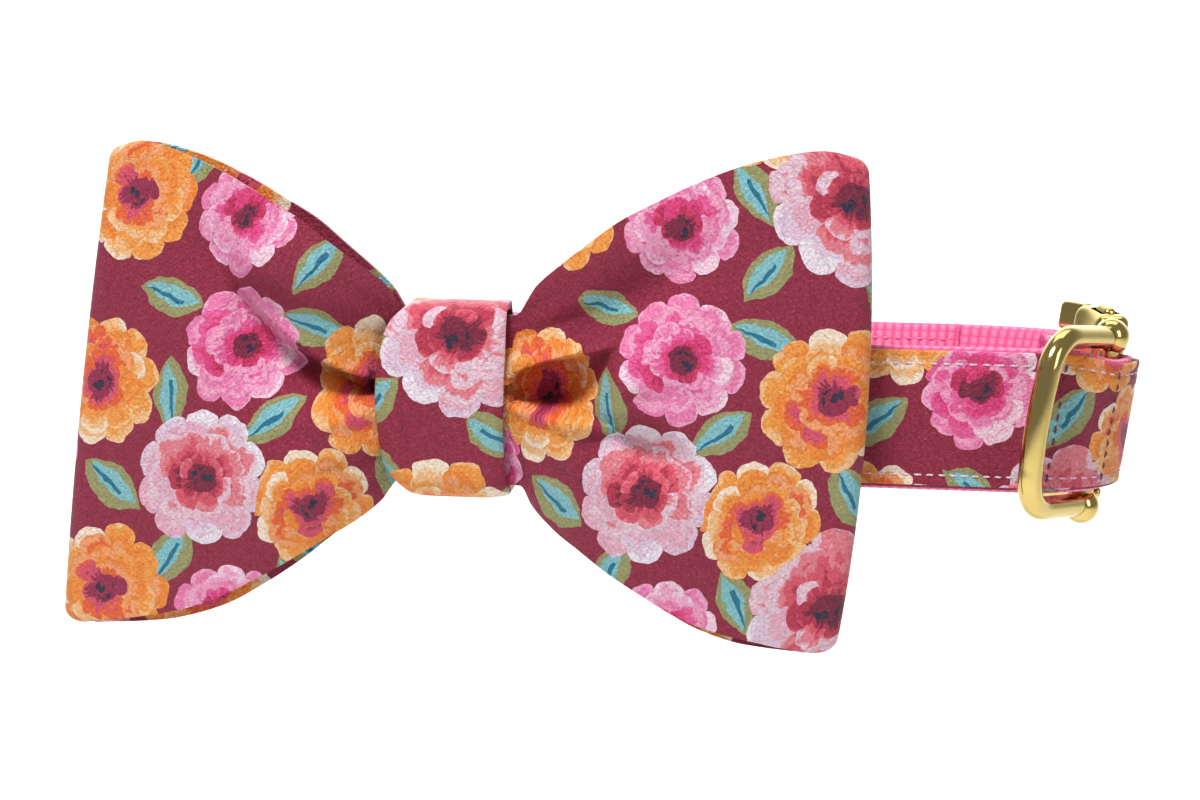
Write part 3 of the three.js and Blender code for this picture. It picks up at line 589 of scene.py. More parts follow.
@dataclass(frozen=True)
class StudioPaper:
    """Seamless backdrop paper: matt and off-white."""

    name: str = "studio paper"
    colour: str = "#F8F8F7"
    shade: str = "#F1F0EF"
    roughness: float = 0.9

    def build(self) -> bpy.types.Material:
        """Makes the material, with a faint paper grain."""
        material, shader, add = new_material(self.name)
        grain = add("TexNoise", add("TexCoord").node.outputs["Object"], 300.0)
        faint = add("Math", grain, 0.15, operation="MULTIPLY")
        colour = add("Mix", faint, linear(self.colour), linear(self.shade), data_type="RGBA")
        fill_inputs(shader, {"Base Color": colour, "Roughness": self.roughness})
        return material


@dataclass
class Strap:
    """The webbing loop with its cotton cover and stitching. Sizes in millimetres."""

    width: float = 25.4
    webbing_thick: float = 1.6
    cover_thick: float = 1.0
    cover_margin: float = 0.6
    gap: float = 0.3
    half_depth: float = 25.0
    left: float = -85.0
    right: float = 84.4
    near_radius: float = 17.0
    buckle_length: float = 26.0
    lean: float = math.radians(8)
    lean_start: float = 50.0
    lean_full: float = 70.0
    narrowing: float = 2.2
    narrow_from: float = 22.0
    narrow_full: float = 9.0
    fold_radius: float = 2.0
    tail_near: float = 28.0
    tail_far: float = 22.0
    tail_closes: float = 5.0
    cover_wrap: float = 3.0
    wire_radius: float = 1.8
    bar_turn: float = math.radians(68.5)
    tunnel_half: float = 8.5
    tunnel_play: float = 0.45
    tunnel_rows: tuple[float, float] = (10.9, 21.6)
    tunnel_reach: float = 10.6
    step: float = 1.4
    stitch_height: float = 9.8
    stitch_pitch: float = 2.15
    stitch_length: float = 1.6
    thread_radius: float = 0.21
    seam_depth: float = 0.22
    seam_width: float = 0.55
    cross_reach: float = 11.0
    print_shift: tuple[float, float] = (37.0, 21.0)
    far_radius: float = field(init=False)
    cover_face: float = field(init=False)
    bar_place: float = field(init=False)
    strap_length: float = field(init=False)

    def __post_init__(self) -> None:
        """Works out the far corner's radius, the cover's outer face, the ring's bar and the lengths."""
        self.far_radius = 2 * self.half_depth - self.near_radius
        self.cover_face = self.webbing_thick / 2 + self.gap + self.cover_thick
        self.bar_place = self.near_radius * (math.pi / 2 - self.bar_turn)
        straights = 2 * (self.right - self.left - self.half_depth) - self.near_radius - self.far_radius
        bends = math.pi / 2 * (self.near_radius + self.far_radius) + math.pi * self.half_depth
        self.strap_length = straights + bends - self.buckle_length

    def loop_point(self, length: np.ndarray, outwards: np.ndarray | float) -> tuple[np.ndarray, np.ndarray]:
        """Walks the loop's plan, clockwise from above: arc, straight, half circle, straight, arc.

        Args:
            length: Lengths from the near bar.
            outwards: How far outside the webbing's middle.

        Returns:
            The points and the outward directions, as rows of x and y.
        """
        h, left_x = self.half_depth, self.left + self.half_depth
        near, far = self.near_radius, self.far_radius
        near_x, far_x, centre_y = self.right - near, self.right - far, near - h
        parts = [near * math.pi / 2, near_x - left_x, math.pi * h, far_x - left_x, far * math.pi / 2]
        ends = np.cumsum(parts)
        s = np.clip(np.asarray(length, float), 0, ends[-1])
        which = np.searchsorted(ends[:-1], s, side="right")
        t = s - np.concatenate([[0], ends[:-1]])[which]
        arcs = {0: (near_x, centre_y, near, 0.0), 2: (left_x, 0.0, h, -math.pi / 2),
                4: (far_x, centre_y, far, math.pi / 2)}
        point, normal = np.zeros((*s.shape, 2)), np.zeros((*s.shape, 2))
        for index, (cx, cy, radius, start) in arcs.items():
            pick = which == index
            turn = start - t[pick] / radius
            normal[pick] = np.stack([np.cos(turn), np.sin(turn)], -1)
            point[pick] = np.array([cx, cy]) + radius * normal[pick]
        for index, start, direction, level in ((1, near_x, -1, -h), (3, left_x, 1, h)):
            pick = which == index
            point[pick] = np.stack([start + direction * t[pick], np.full(pick.sum(), level)], -1)
            normal[pick] = (0, direction)
        return point + normal * np.asarray(outwards)[..., None], normal

    def tail_depth(self, length: np.ndarray, bulged: bool) -> np.ndarray:
        """How far a tail lies inside the strap, the near one bulged by a cosine round the ring's bar."""
        spacing = self.webbing_thick + self.gap
        fold = (2 * self.fold_radius - spacing) * (1 - smooth(0, self.tail_closes, length))
        away = np.minimum(np.abs(length - self.bar_place) / self.tunnel_half, 1)
        bulge = (self.wire_radius + self.tunnel_play) * (1 + np.cos(math.pi * away))
        return spacing + (np.maximum(fold, bulge) if bulged else fold)

    def fold_points(self, place: float, way: int) -> np.ndarray:
        """Half circle of the strap round a bar of the buckle, its way 1 outwards and -1 inwards."""
        centre, out = self.loop_point(np.array([place]), -self.fold_radius)
        onwards = np.array([out[0, 1], -out[0, 0]])
        turn = np.linspace(0, math.pi, 14)[1:-1, None]
        return centre + way * self.fold_radius * (np.cos(turn) * out + np.sin(turn) * onwards)

    def route(self, near_tail: float, far_tail: float) -> tuple[np.ndarray, np.ndarray]:
        """Middle line of the webbing from one tail's end to the other's.

        Args:
            near_tail: How much of the near tail to follow.
            far_tail: How much of the far tail to follow.

        Returns:
            The points, and the length along the loop that each lies beside.
        """
        end = self.strap_length
        near = np.linspace(near_tail, 0, max(2, round(near_tail / 0.8)))
        main = np.linspace(0, end, round(end / self.step))
        far = np.linspace(0, far_tail, max(2, round(far_tail / 1.2)))
        folds = self.fold_points(0, -1), self.fold_points(end, 1)
        tails = [self.loop_point(near, -self.tail_depth(near, True))[0],
                 self.loop_point(end - far, -self.tail_depth(far, False))[0]]
        points = [tails[0], folds[0], self.loop_point(main, 0.0)[0], folds[1], tails[1]]
        places = [near, np.zeros(len(folds[0])), main, np.full(len(folds[1]), end), end - far]
        return np.concatenate(points), np.concatenate(places)

    def lean_out(self, points: np.ndarray) -> np.ndarray:
        """Moves what lies higher to the right, past lean_start, in proportion to its height."""
        moved = points.copy()
        share = smooth(self.lean_start, self.lean_full, points[..., 0])
        moved[..., 0] += points[..., 2] * math.tan(self.lean) * share
        return moved

    def narrowed(self, place: np.ndarray, height: np.ndarray, half: float) -> np.ndarray:
        """Draws heights down beside the ring, the top edge most and the bottom edge not at all."""
        narrowing = self.narrowing * (1 - smooth(self.narrow_full, self.narrow_from, place))
        return height - narrowing * (height + half) / (2 * half)

    def ribbon(self, name: str, route: tuple[np.ndarray, np.ndarray], profile: np.ndarray,
               uv_shift: tuple[float, float]) -> bpy.types.Object:
        """Carries a closed profile along the route, standing on edge, and closes both ends.

        Args:
            name: The piece's name.
            route: Points and places from route().
            profile: Rows of outward offset and height, clockwise seen along the strap.
            uv_shift: Moves the print along and across.

        Returns:
            The piece.
        """
        path, place = route
        along = unit(np.gradient(path, axis=0))
        side = np.stack([-along[:, 1], along[:, 0]], 1)
        height = self.narrowed(place[:, None], profile[None, :, 1], profile[:, 1].max())
        flat = path[:, None] + side[:, None] * profile[None, :, 0, None]
        points = self.lean_out(np.concatenate([flat, height[..., None]], -1))
        rows, columns = points.shape[:2]
        length = run_of(np.diff(path, axis=0)) + uv_shift[0]
        around = run_of(np.roll(profile, -1, 0) - profile) + uv_shift[1]
        uv_grid = np.stack(np.meshgrid(length, around, indexing="ij"), -1).reshape(-1, 2)
        ring = np.arange(columns)
        caps = [ring[::-1], ring + (rows - 1) * columns]
        corner_uv = [uv_grid[grid_faces(rows, columns + 1)].reshape(-1, 2)]
        corner_uv += [profile[cap % columns] + uv_shift for cap in caps]
        faces = [*grid_faces(rows, columns, wrap_columns=True), *caps]
        return build_mesh(name, points.reshape(-1, 3), faces, np.concatenate(corner_uv), turned=True)

    def edge_profile(self, inside: float, outside: float, half: float, seams: float) -> np.ndarray:
        """Closed profile of a flat strip with round edges, and a dip at each stitch line outside.

        Args:
            inside: Offset of the inner face.
            outside: Offset of the outer face.
            half: Half of the height.
            seams: Depth of the dips.

        Returns:
            Rows of offset and height. The outer face dips by a bell curve round each stitch line.
        """
        radius, middle, seam = (outside - inside) / 2, (outside + inside) / 2, self.stitch_height
        spans = [(-half + radius, -seam - 1.2, 3), (-seam - 0.6, -seam + 2.4, 8), (-seam + 4, seam - 4, 8),
                 (seam - 2.4, seam + 0.6, 8), (seam + 1.2, half - radius, 3)]
        z = np.concatenate([np.linspace(*span) for span in spans])
        dip = seams * np.exp(-((np.abs(z) - seam) / self.seam_width) ** 2)
        turn = np.linspace(math.pi / 2, -math.pi / 2, 7)[1:-1]
        cap = np.stack([radius * np.sin(turn), half - radius + radius * np.cos(turn)], 1)
        inner = np.stack([np.full(9, inside), np.linspace(half - radius, -half + radius, 9)], 1)
        return np.concatenate([np.stack([outside - dip, z], 1), (middle, 0) + cap, inner, (middle, 0) - cap])

    def build_webbing(self, material: bpy.types.Material) -> None:
        """Makes the webbing from tail to tail."""
        half = self.webbing_thick / 2
        profile = self.edge_profile(-half, half, self.width / 2, 0.0)
        obj = self.ribbon("webbing", self.route(self.tail_near, self.tail_far), profile, (0, 0))
        place_piece(obj, Body.COLLAR, "collar_webbing", material)

    def build_cover(self, material: bpy.types.Material) -> None:
        """Makes the cotton cover on the outside of the webbing."""
        inside, half = self.webbing_thick / 2 + self.gap, self.width / 2 - self.cover_margin
        profile = self.edge_profile(inside, self.cover_face, half, self.seam_depth)
        obj = self.ribbon("cover", self.route(self.cover_wrap, self.cover_wrap), profile, self.print_shift)
        place_piece(obj, Body.COLLAR, "collar_cover", material)

    def stitches(self, name: str, rows: list[tuple[np.ndarray, np.ndarray, np.ndarray]],
                 material: bpy.types.Material) -> None:
        """Makes rows of stitches, each a thread that dips into the cloth at both ends.

        The thread's middle follows a half sine above the line from its start to its end, and its
        radius closes to nothing at both ends.

        Args:
            name: The piece's name.
            rows: Each row's first points, last points and directions away from the cloth.
            material: Its finish.
        """
        starts, ends, out = (np.concatenate(part) for part in zip(*rows))
        sides, rings = 6, 6
        t = np.linspace(0, 1, rings)
        radius = self.thread_radius * np.sqrt(np.clip(np.sin(math.pi * np.linspace(0.04, 0.96, rings)), 0, 1))
        across = np.cross(unit(ends - starts), out)
        lift = self.thread_radius * (1.5 * np.sin(math.pi * t) - 0.75)
        centre = (starts[:, None] + (ends - starts)[:, None] * t[None, :, None]
                  + out[:, None] * lift[None, :, None])
        turn = 2 * math.pi * np.arange(sides)[:, None] / sides
        ring = np.cos(turn) * out[:, None, None] + np.sin(turn) * across[:, None, None]
        points = centre[:, :, None] + ring * radius[:, None, None]
        one = [*grid_faces(rings, sides, wrap_columns=True).tolist(), list(range(sides))[::-1],
               list(range((rings - 1) * sides, rings * sides))]
        faces = [[v + n * sides * rings for v in f] for n in range(len(starts)) for f in one]
        obj = build_mesh(name, points.reshape(-1, 3), faces, turned=True)
        place_piece(obj, Body.COLLAR, None, material)

    def stitch_row(self, outwards: float, place: np.ndarray | float, height: np.ndarray | float,
                   upwards: bool) -> tuple[np.ndarray, np.ndarray, np.ndarray]:
        """Places stitches on the cloth.

        Args:
            outwards: Offset of the cloth's face, negative for the inside.
            place: Length of each stitch's start along the strap.
            height: Height of each start, before the strap narrows.
            upwards: Runs the stitches up the strap, else along it.

        Returns:
            Starts, ends and outward directions.
        """
        place, height = (np.array(part, float) for part in np.broadcast_arrays(place, height))
        points = []
        for run in (0.0, self.stitch_length):
            at, z = place + run * (not upwards), height + run * upwards
            flat, normal = self.loop_point(at, outwards)
            z = self.narrowed(at, z, self.width / 2)
            points.append(self.lean_out(np.concatenate([flat, z[:, None]], 1)))
        return *points, np.concatenate([normal * math.copysign(1, outwards), np.zeros((len(place), 1))], 1)

    def build_stitching(self, pale: bpy.types.Material, pink: bpy.types.Material,
                        burgundy: bpy.types.Material) -> None:
        """Makes the long rows on both faces, the cross rows at the tails and the rows beside the ring."""
        face, back, end = self.cover_face - self.seam_depth, -self.webbing_thick / 2, self.strap_length
        outer = np.arange(1.0, end - 1.0, self.stitch_pitch)
        inner = np.arange(self.tail_near + 2, end - self.tail_far - 2, self.stitch_pitch)
        heights = (-self.stitch_height, self.stitch_height)
        self.stitches("edge_stitching", [self.stitch_row(face, outer, z, False) for z in heights], pale)
        self.stitches("inner_stitching", [self.stitch_row(back, inner, z, False) for z in heights], pink)
        for name, places, reach, thread in (
                ("tail_stitching", (self.tail_near - 2, end - self.tail_far + 2), self.cross_reach, pale),
                ("tunnel_stitching", self.tunnel_rows, self.tunnel_reach, burgundy)):
            z = np.arange(-reach, reach - self.stitch_length, self.stitch_pitch)
            rows = [self.stitch_row(self.cover_face, place, z, True) for place in places]
            self.stitches(name, rows, thread)


@dataclass
class Wing:
    """One wing of the bow. Reach in millimetres, the rest as shares."""

    side: int
    reach: float
    slant: float
    belly: float
    tuck: float
    sag: float


class Pocket(NamedTuple):
    """A recess of the front layer between two creases, in shares of a wing's reach and half height.

    A crease goes from its root to its tip by its bend's power of the share along the pocket. The
    depth falls by the power `lasts` of that share. Its wall is a half sine whose middle is moved by
    the skew, which grows along the pocket, raised to a power.
    """

    start: float
    end: float
    upper_root: float
    upper_tip: float
    upper_bend: float
    lower_root: float
    lower_tip: float
    lower_bend: float
    depth: float
    skew: float
    lasts: float
    growth: float
    power: float


class Fold(NamedTuple):
    """A valley of the front layer, or a ridge where its depth is negative, along a line."""

    x: float
    z: float
    end_x: float
    end_z: float
    depth: float
    width: float


@dataclass
class Bow:
    """The pinched cotton loop and its knot band. Sizes in millimetres."""

    x: float = -31.4
    z: float = 2.4
    half_height: float = 43.1
    wall: float = 1.4
    forward: float = 16.5
    face: float = 27.1
    webbing_back: float = 24.2
    gap: float = 0.3
    layer_space: float = 0.5
    fold_starts: float = 0.955
    rim_closing: float = 0.22
    waist_closing: float = 0.4
    corner: float = 2.2
    rows: int = 121
    # A pocket opens from before to after its start. The puff is a slow wave of the full layer
    entry: tuple[float, float] = (-0.07, 0.03)
    puff: float = 0.012
    print_shift: tuple[float, float] = (3.0, 47.0)
    # How much of its flat rectangle the pinched loop fills
    filled: float = 0.76
    left: Wing = field(default_factory=lambda: Wing(-1, 67.3, -4.6, 0.7, 0.05, 0.03))
    right: Wing = field(default_factory=lambda: Wing(1, 68.5, 1.75, 2.8, -0.02, 0.0))

    # Sections of a wing from the waist to the fold, with the same columns as the solid's table
    REACH = [0.00, 0.11, 0.15, 0.175, 0.20, 0.26, 0.33,
             0.41, 0.50, 0.60, 0.72, 0.82, 0.92, 1.00]
    TOP = [0.325, 0.325, 0.338, 0.395, 0.455, 0.540, 0.630,
           0.730, 0.810, 0.890, 0.965, 1.000, 1.012, 0.985]
    BOTTOM = [0.358, 0.360, 0.360, 0.370, 0.435, 0.520, 0.592,
              0.682, 0.770, 0.860, 0.925, 0.955, 0.980, 0.990]
    DROP = [0.0, 0.0, 0.0, 0.0, 0.0, 0.005, 0.015,
            0.035, 0.052, 0.060, 0.060, 0.052, 0.034, 0.000]
    FRONT = [0.480, 0.465, 0.470, 0.530, 0.620, 0.810, 0.960,
             1.000, 0.990, 0.930, 0.830, 0.730, 0.610, 0.540]
    BACK = [0.068, 0.068, 0.068, 0.070, 0.072, 0.080, 0.095,
            0.110, 0.125, 0.140, 0.160, 0.185, 0.215, 0.240]
    POCKETS = {
        -1: [Pocket(0.15, 0.62, 0.05, 0.52, 1.7, -0.01, -0.32, 1.0, 0.62, 1.7, 3.0, 0.7, 1.0)],
        1: [Pocket(0.125, 0.42, 0.06, 0.235, 0.45, -0.01, -0.10, 0.5, 1.0, 1.2, 2.4, 0.0, 0.4)],
    }
    # The folds and the fine gathers with raised lips, as the values of a Fold each
    FOLDS = {
        -1: [(0.20, -0.20, 0.62, -0.52, -0.09, 0.14), (0.50, 0.32, 0.74, 0.72, 0.16, 0.08),
             (0.22, 0.34, 0.60, 0.74, -0.15, 0.15), (0.18, 0.10, 0.64, 0.50, 0.22, 0.13)],
        1: [(0.24, 0.20, 0.70, 0.72, 0.32, 0.11), (0.38, -0.09, 0.62, -0.30, 0.28, 0.08),
            (0.30, 0.02, 0.60, 0.20, -0.08, 0.12)],
    }
    GATHERS = {
        -1: [(0.17, 0.22, 0.40, 0.36, 0.035, 0.030), (0.16, -0.24, 0.42, -0.36, 0.040, 0.030),
             (0.18, 0.33, 0.36, 0.50, 0.030, 0.028), (0.17, -0.33, 0.34, -0.46, 0.030, 0.026),
             (0.24, -0.13, 0.52, -0.20, 0.030, 0.035), (0.19, 0.13, 0.44, 0.36, -0.080, 0.075),
             (0.40, 0.34, 0.60, 0.66, -0.060, 0.080), (0.20, -0.06, 0.56, -0.31, -0.040, 0.040)],
        1: [(0.17, 0.25, 0.38, 0.42, 0.040, 0.030), (0.17, -0.18, 0.40, -0.42, 0.040, 0.032),
            (0.16, 0.33, 0.34, 0.52, 0.030, 0.026), (0.17, -0.31, 0.32, -0.47, 0.035, 0.026),
            (0.15, 0.14, 0.42, 0.26, -0.090, 0.040), (0.15, -0.03, 0.40, -0.115, -0.075, 0.028),
            (0.42, 0.02, 0.62, 0.06, 0.040, 0.040)],
    }

    def groove(self, reach: np.ndarray, height: np.ndarray, fold: Fold) -> np.ndarray:
        """Depth of a fold: a bell curve across its line, faded in and out along it."""
        x, z = reach - fold.x, height - fold.z
        run = np.array([fold.end_x - fold.x, fold.end_z - fold.z])
        t = (x * run[0] + z * run[1]) / (run @ run)
        away = (x * run[1] - z * run[0]) / np.linalg.norm(run) / fold.width
        return fold.depth * np.exp(-away * away) * smooth(-0.25, 0.2, t) * (1 - smooth(0.4, 1.1, t))

    def drawn_in(self, side: int, reach: np.ndarray, height: np.ndarray) -> np.ndarray:
        """How far the front layer is drawn in: pockets between two creases, folds and gathers."""
        depth = np.zeros(np.broadcast(reach, height).shape)
        for p in self.POCKETS[side]:
            t = np.clip((reach - p.start) / (p.end - p.start), 0, 1)
            upper = p.upper_root + (p.upper_tip - p.upper_root) * t ** p.upper_bend
            lower = p.lower_root + (p.lower_tip - p.lower_root) * t ** p.lower_bend
            place = np.clip((height - lower) / np.maximum(upper - lower, 1e-6), 0, 1)
            entry = smooth(p.start + self.entry[0], p.start + self.entry[1], reach)
            wall = np.sin(math.pi * place ** (p.skew * (1 + p.growth * t)))
            depth = depth + p.depth * entry * (1 - t ** p.lasts) * np.maximum(wall, 0) ** p.power
        for fold in [*self.FOLDS[side], *self.GATHERS[side]]:
            depth = depth + self.groove(reach, height, Fold(*fold))
        return depth

    def wing_points(self, wing: Wing, front: bool, reach: np.ndarray, row: np.ndarray) -> np.ndarray:
        """Middle of a wing's front or back layer.

        The point goes out by its reach times the wing's edge there, up by its row times the
        section's height, and forward by the section's depth, closed towards the rims and round the
        outer fold.

        Args:
            wing: The wing.
            front: The front layer, else the back one.
            reach: Shares of the wing's reach, one a column.
            row: Rows from -1 at the bottom to 1 at the top.

        Returns:
            Points by column and row.
        """
        reach, row = reach[:, None], row[None, :]
        top, bottom, drop, back = (read_table(self.REACH, table, reach)
                                   for table in (self.TOP, self.BOTTOM, self.DROP, self.BACK))
        top = top - wing.sag * np.sin(math.pi * reach)
        bottom = bottom if front else bottom + drop
        rise = np.where(row >= 0, row * top, row * bottom)
        edge = wing.reach + wing.slant * rise + wing.belly * (1 - rise * rise)
        cut = np.clip(1 - (1 - np.abs(row)) * self.half_height / self.corner, 0, 1)
        edge = edge - self.corner * (1 - np.sqrt(1 - cut * cut)) * smooth(0.7, 1, reach)
        share = smooth(0.15, 0.4, reach)
        closing = 1 - row * row * (self.waist_closing * (1 - share) + self.rim_closing * share)
        swell = read_table(self.REACH, self.FRONT, np.maximum(reach - wing.tuck * (1 - reach), 0))
        full = back + (swell - back) * closing
        bent = np.clip((reach - self.fold_starts) / (1 - self.fold_starts), 0, 1)
        opened = np.sqrt(1 - bent * bent)
        middle = (full + back) / 2
        least = back + (self.wall + self.layer_space) / self.forward
        drawn = full - self.drawn_in(wing.side, reach, rise)
        front_depth = np.where(reach < self.fold_starts, np.maximum(drawn, least), drawn)
        wave = np.sin(9 * reach + 4 * rise + wing.side) * np.sin(7 * rise + 2 * reach)
        puff = self.puff * wave * smooth(0.2, 0.5, reach)
        forward = middle + ((front_depth + puff if front else back) - middle) * opened
        x, z = self.x + wing.side * reach * edge, self.z + rise * self.half_height
        return np.stack(np.broadcast_arrays(x, -(self.face + forward * self.forward), z), -1)

    def build_loop(self, material: bpy.types.Material) -> None:
        """Makes the bow: along the front from left to right and back behind."""
        starts = self.fold_starts
        # Columns lie close together in the pockets and round the folds, rows at the rims
        spans = [np.linspace(0, 0.12, 7), np.linspace(0.13, 0.62, 60), np.linspace(0.63, starts, 30)]
        bent = 1 - (1 - starts) * (1 - np.sin(np.linspace(0.06, math.pi / 2, 9)))
        fine = np.concatenate([*spans, bent])
        row = np.linspace(-1, 1, self.rows)
        row = 0.55 * row + 0.45 * row ** 3
        ends = 1 - np.array([0.12, 0.35, 0.7, 1.1, 1.8, 2.5]) / self.half_height
        row = np.unique(np.concatenate([row, ends, -ends]))
        plain = np.concatenate([fine[:-9:2], fine[-9:]])
        layers = ((self.left, True, fine[::-1]), (self.right, True, fine[1:]),
                  (self.right, False, plain[::-1][1:]), (self.left, False, plain[1:-1]))
        grid = np.concatenate([self.wing_points(*layer, row) for layer in layers])
        columns, rows = grid.shape[:2]
        flat = np.linalg.norm((np.roll(grid, -1, 0) - grid)[..., :2], axis=2).mean(axis=1)
        along = np.concatenate([[0], np.cumsum(flat)])
        height = np.concatenate([grid[..., 2], grid[:1, :, 2]])
        uv_grid = np.stack([np.broadcast_to(along[:, None], height.shape), height], -1).reshape(-1, 2)
        uv_grid = uv_grid + self.print_shift
        obj = build_mesh("bow", grid.reshape(-1, 3), grid_faces(columns, rows, wrap_rows=True),
                         uv_grid[grid_faces(columns + 1, rows)].reshape(-1, 2))
        thicken(obj, self.wall)
        place_piece(obj, Body.COLLAR, "bow_loop", material)


@dataclass
class Knot:
    """The cotton band round the bow's waist and the strap. Sizes in millimetres."""

    bow: Bow
    wall: float = 1.5
    clear: float = 1.95
    width: float = 22.0
    front_bulge: float = 1.5
    edge_roll: float = 1.2
    edge_turn: float = 0.6
    top_sag: float = 0.5
    bend: float = 4.0
    back_bend: float = 1.5
    strap_width: float = 25.4
    columns: int = 49
    print_shift: tuple[float, float] = (9.0, 31.0)

    # Left and right edges by height share, as shares of the width
    HEIGHT = [0.00, 0.15, 0.30, 0.52, 0.75, 0.90, 1.00]
    LEFT = [-0.40, -0.555, -0.60, -0.63, -0.60, -0.53, -0.41]
    RIGHT = [0.40, 0.38, 0.37, 0.37, 0.375, 0.375, 0.37]
    # Gathers: depth, place across at a height share, lean, that share, width, and power of the fade
    GATHERS = [(0.22, -0.62, -0.25, 0.5, 0.10, 0.5), (0.16, 0.70, 0.2, 0.4, 0.08, 0.0)]

    def section(self) -> tuple[np.ndarray, float, float, float, float]:
        """Closed section round the waist and the strap, of straights and quarter bends.

        It starts at the back, where the print's seam isn't seen.

        Returns:
            Rows of y and z, and the front, back, top and bottom places.
        """
        bow = self.bow
        front = -(bow.face + bow.FRONT[0] * bow.forward + bow.wall / 2 + bow.gap + self.wall / 2)
        back = -(bow.webbing_back - bow.gap - self.wall / 2)
        top = bow.z + bow.TOP[0] * bow.half_height + self.clear
        bottom = bow.z - bow.BOTTOM[0] * bow.half_height - self.clear
        back_top = self.strap_width / 2 + 2 * bow.gap + self.wall / 2
        near_front, near_back, near_top = front + self.bend, back - self.back_bend, back_top - self.back_bend
        # Where each span starts, the corner that it bends round, and its steps
        spans = [((front, bottom + self.bend), None, 40), ((front, top - self.bend), (front, top), 8),
                 ((near_front, top), None, 8), ((-bow.face, top), None, 3),
                 ((near_back, back_top), (back, back_top), 5), ((back, near_top), None, 10),
                 ((back, -near_top), (back, -back_top), 5), ((near_back, -back_top), None, 10),
                 ((near_front, bottom), (front, bottom), 8)]
        rows = []
        for number, (start, corner, steps) in enumerate(spans):
            t = np.arange(steps)[:, None] / steps
            a, b = np.array(start), np.array(spans[(number + 1) % len(spans)][0])
            c = (a + b) / 2 if corner is None else np.array(corner)
            rows.append((1 - t) ** 2 * a + 2 * t * (1 - t) * c + t * t * b)
        before_back = sum(len(r) for r in rows[:5]) + len(rows[5]) // 2
        return np.roll(np.concatenate(rows), -before_back, axis=0), front, back, top, bottom

    def build(self, material: bpy.types.Material) -> None:
        """Makes the band: the section between its left and right edges, with soft gathers."""
        section, front, back, top, bottom = self.section()
        share = np.clip((section[:, 1] - bottom) / (top - bottom), 0, 1)
        frontness = smooth(0, 1, (back - section[:, 0]) / (back - front))
        left, right = read_table(self.HEIGHT, self.LEFT, share), read_table(self.HEIGHT, self.RIGHT, share)
        across = np.linspace(0, 1, self.columns)[None, :]
        side = 2 * across - 1
        share, frontness = share[:, None], frontness[:, None]
        arch = np.sin(math.pi * share)
        bulge = self.front_bulge * arch - self.edge_roll * side ** 4 - self.edge_turn * side ** 14
        gathers = sum(depth * np.exp(-((side - at - lean * (share - level)) / width) ** 2) * arch ** fade
                      for depth, at, lean, level, width, fade in self.GATHERS)
        hug = self.edge_turn * side ** 8 * (smooth(0.85, 1, share) - smooth(0.15, 0, share))
        sag = self.top_sag * (1 - side ** 2) * smooth(0.8, 1, share) * frontness + hug * frontness
        x = self.bow.x + self.width * (left[:, None] + (right - left)[:, None] * across)
        y = section[:, :1] - (bulge - gathers) * frontness
        z = section[:, 1:] - sag
        grid = np.stack(np.broadcast_arrays(x, y, z), -1)
        rows, columns = grid.shape[:2]
        around = run_of(np.roll(section, -1, 0) - section)
        wide = np.concatenate([grid[..., 0], grid[:1, :, 0]])
        uv_grid = np.stack([wide, np.broadcast_to(around[:, None], wide.shape)], -1).reshape(-1, 2)
        uv_grid = uv_grid + self.print_shift
        obj = build_mesh("knot", grid.reshape(-1, 3), grid_faces(rows, columns, wrap_rows=True),
                         uv_grid[grid_faces(rows + 1, columns)].reshape(-1, 2), turned=True)
        thicken(obj, self.wall)
        place_piece(obj, Body.COLLAR, "knot_band", material)


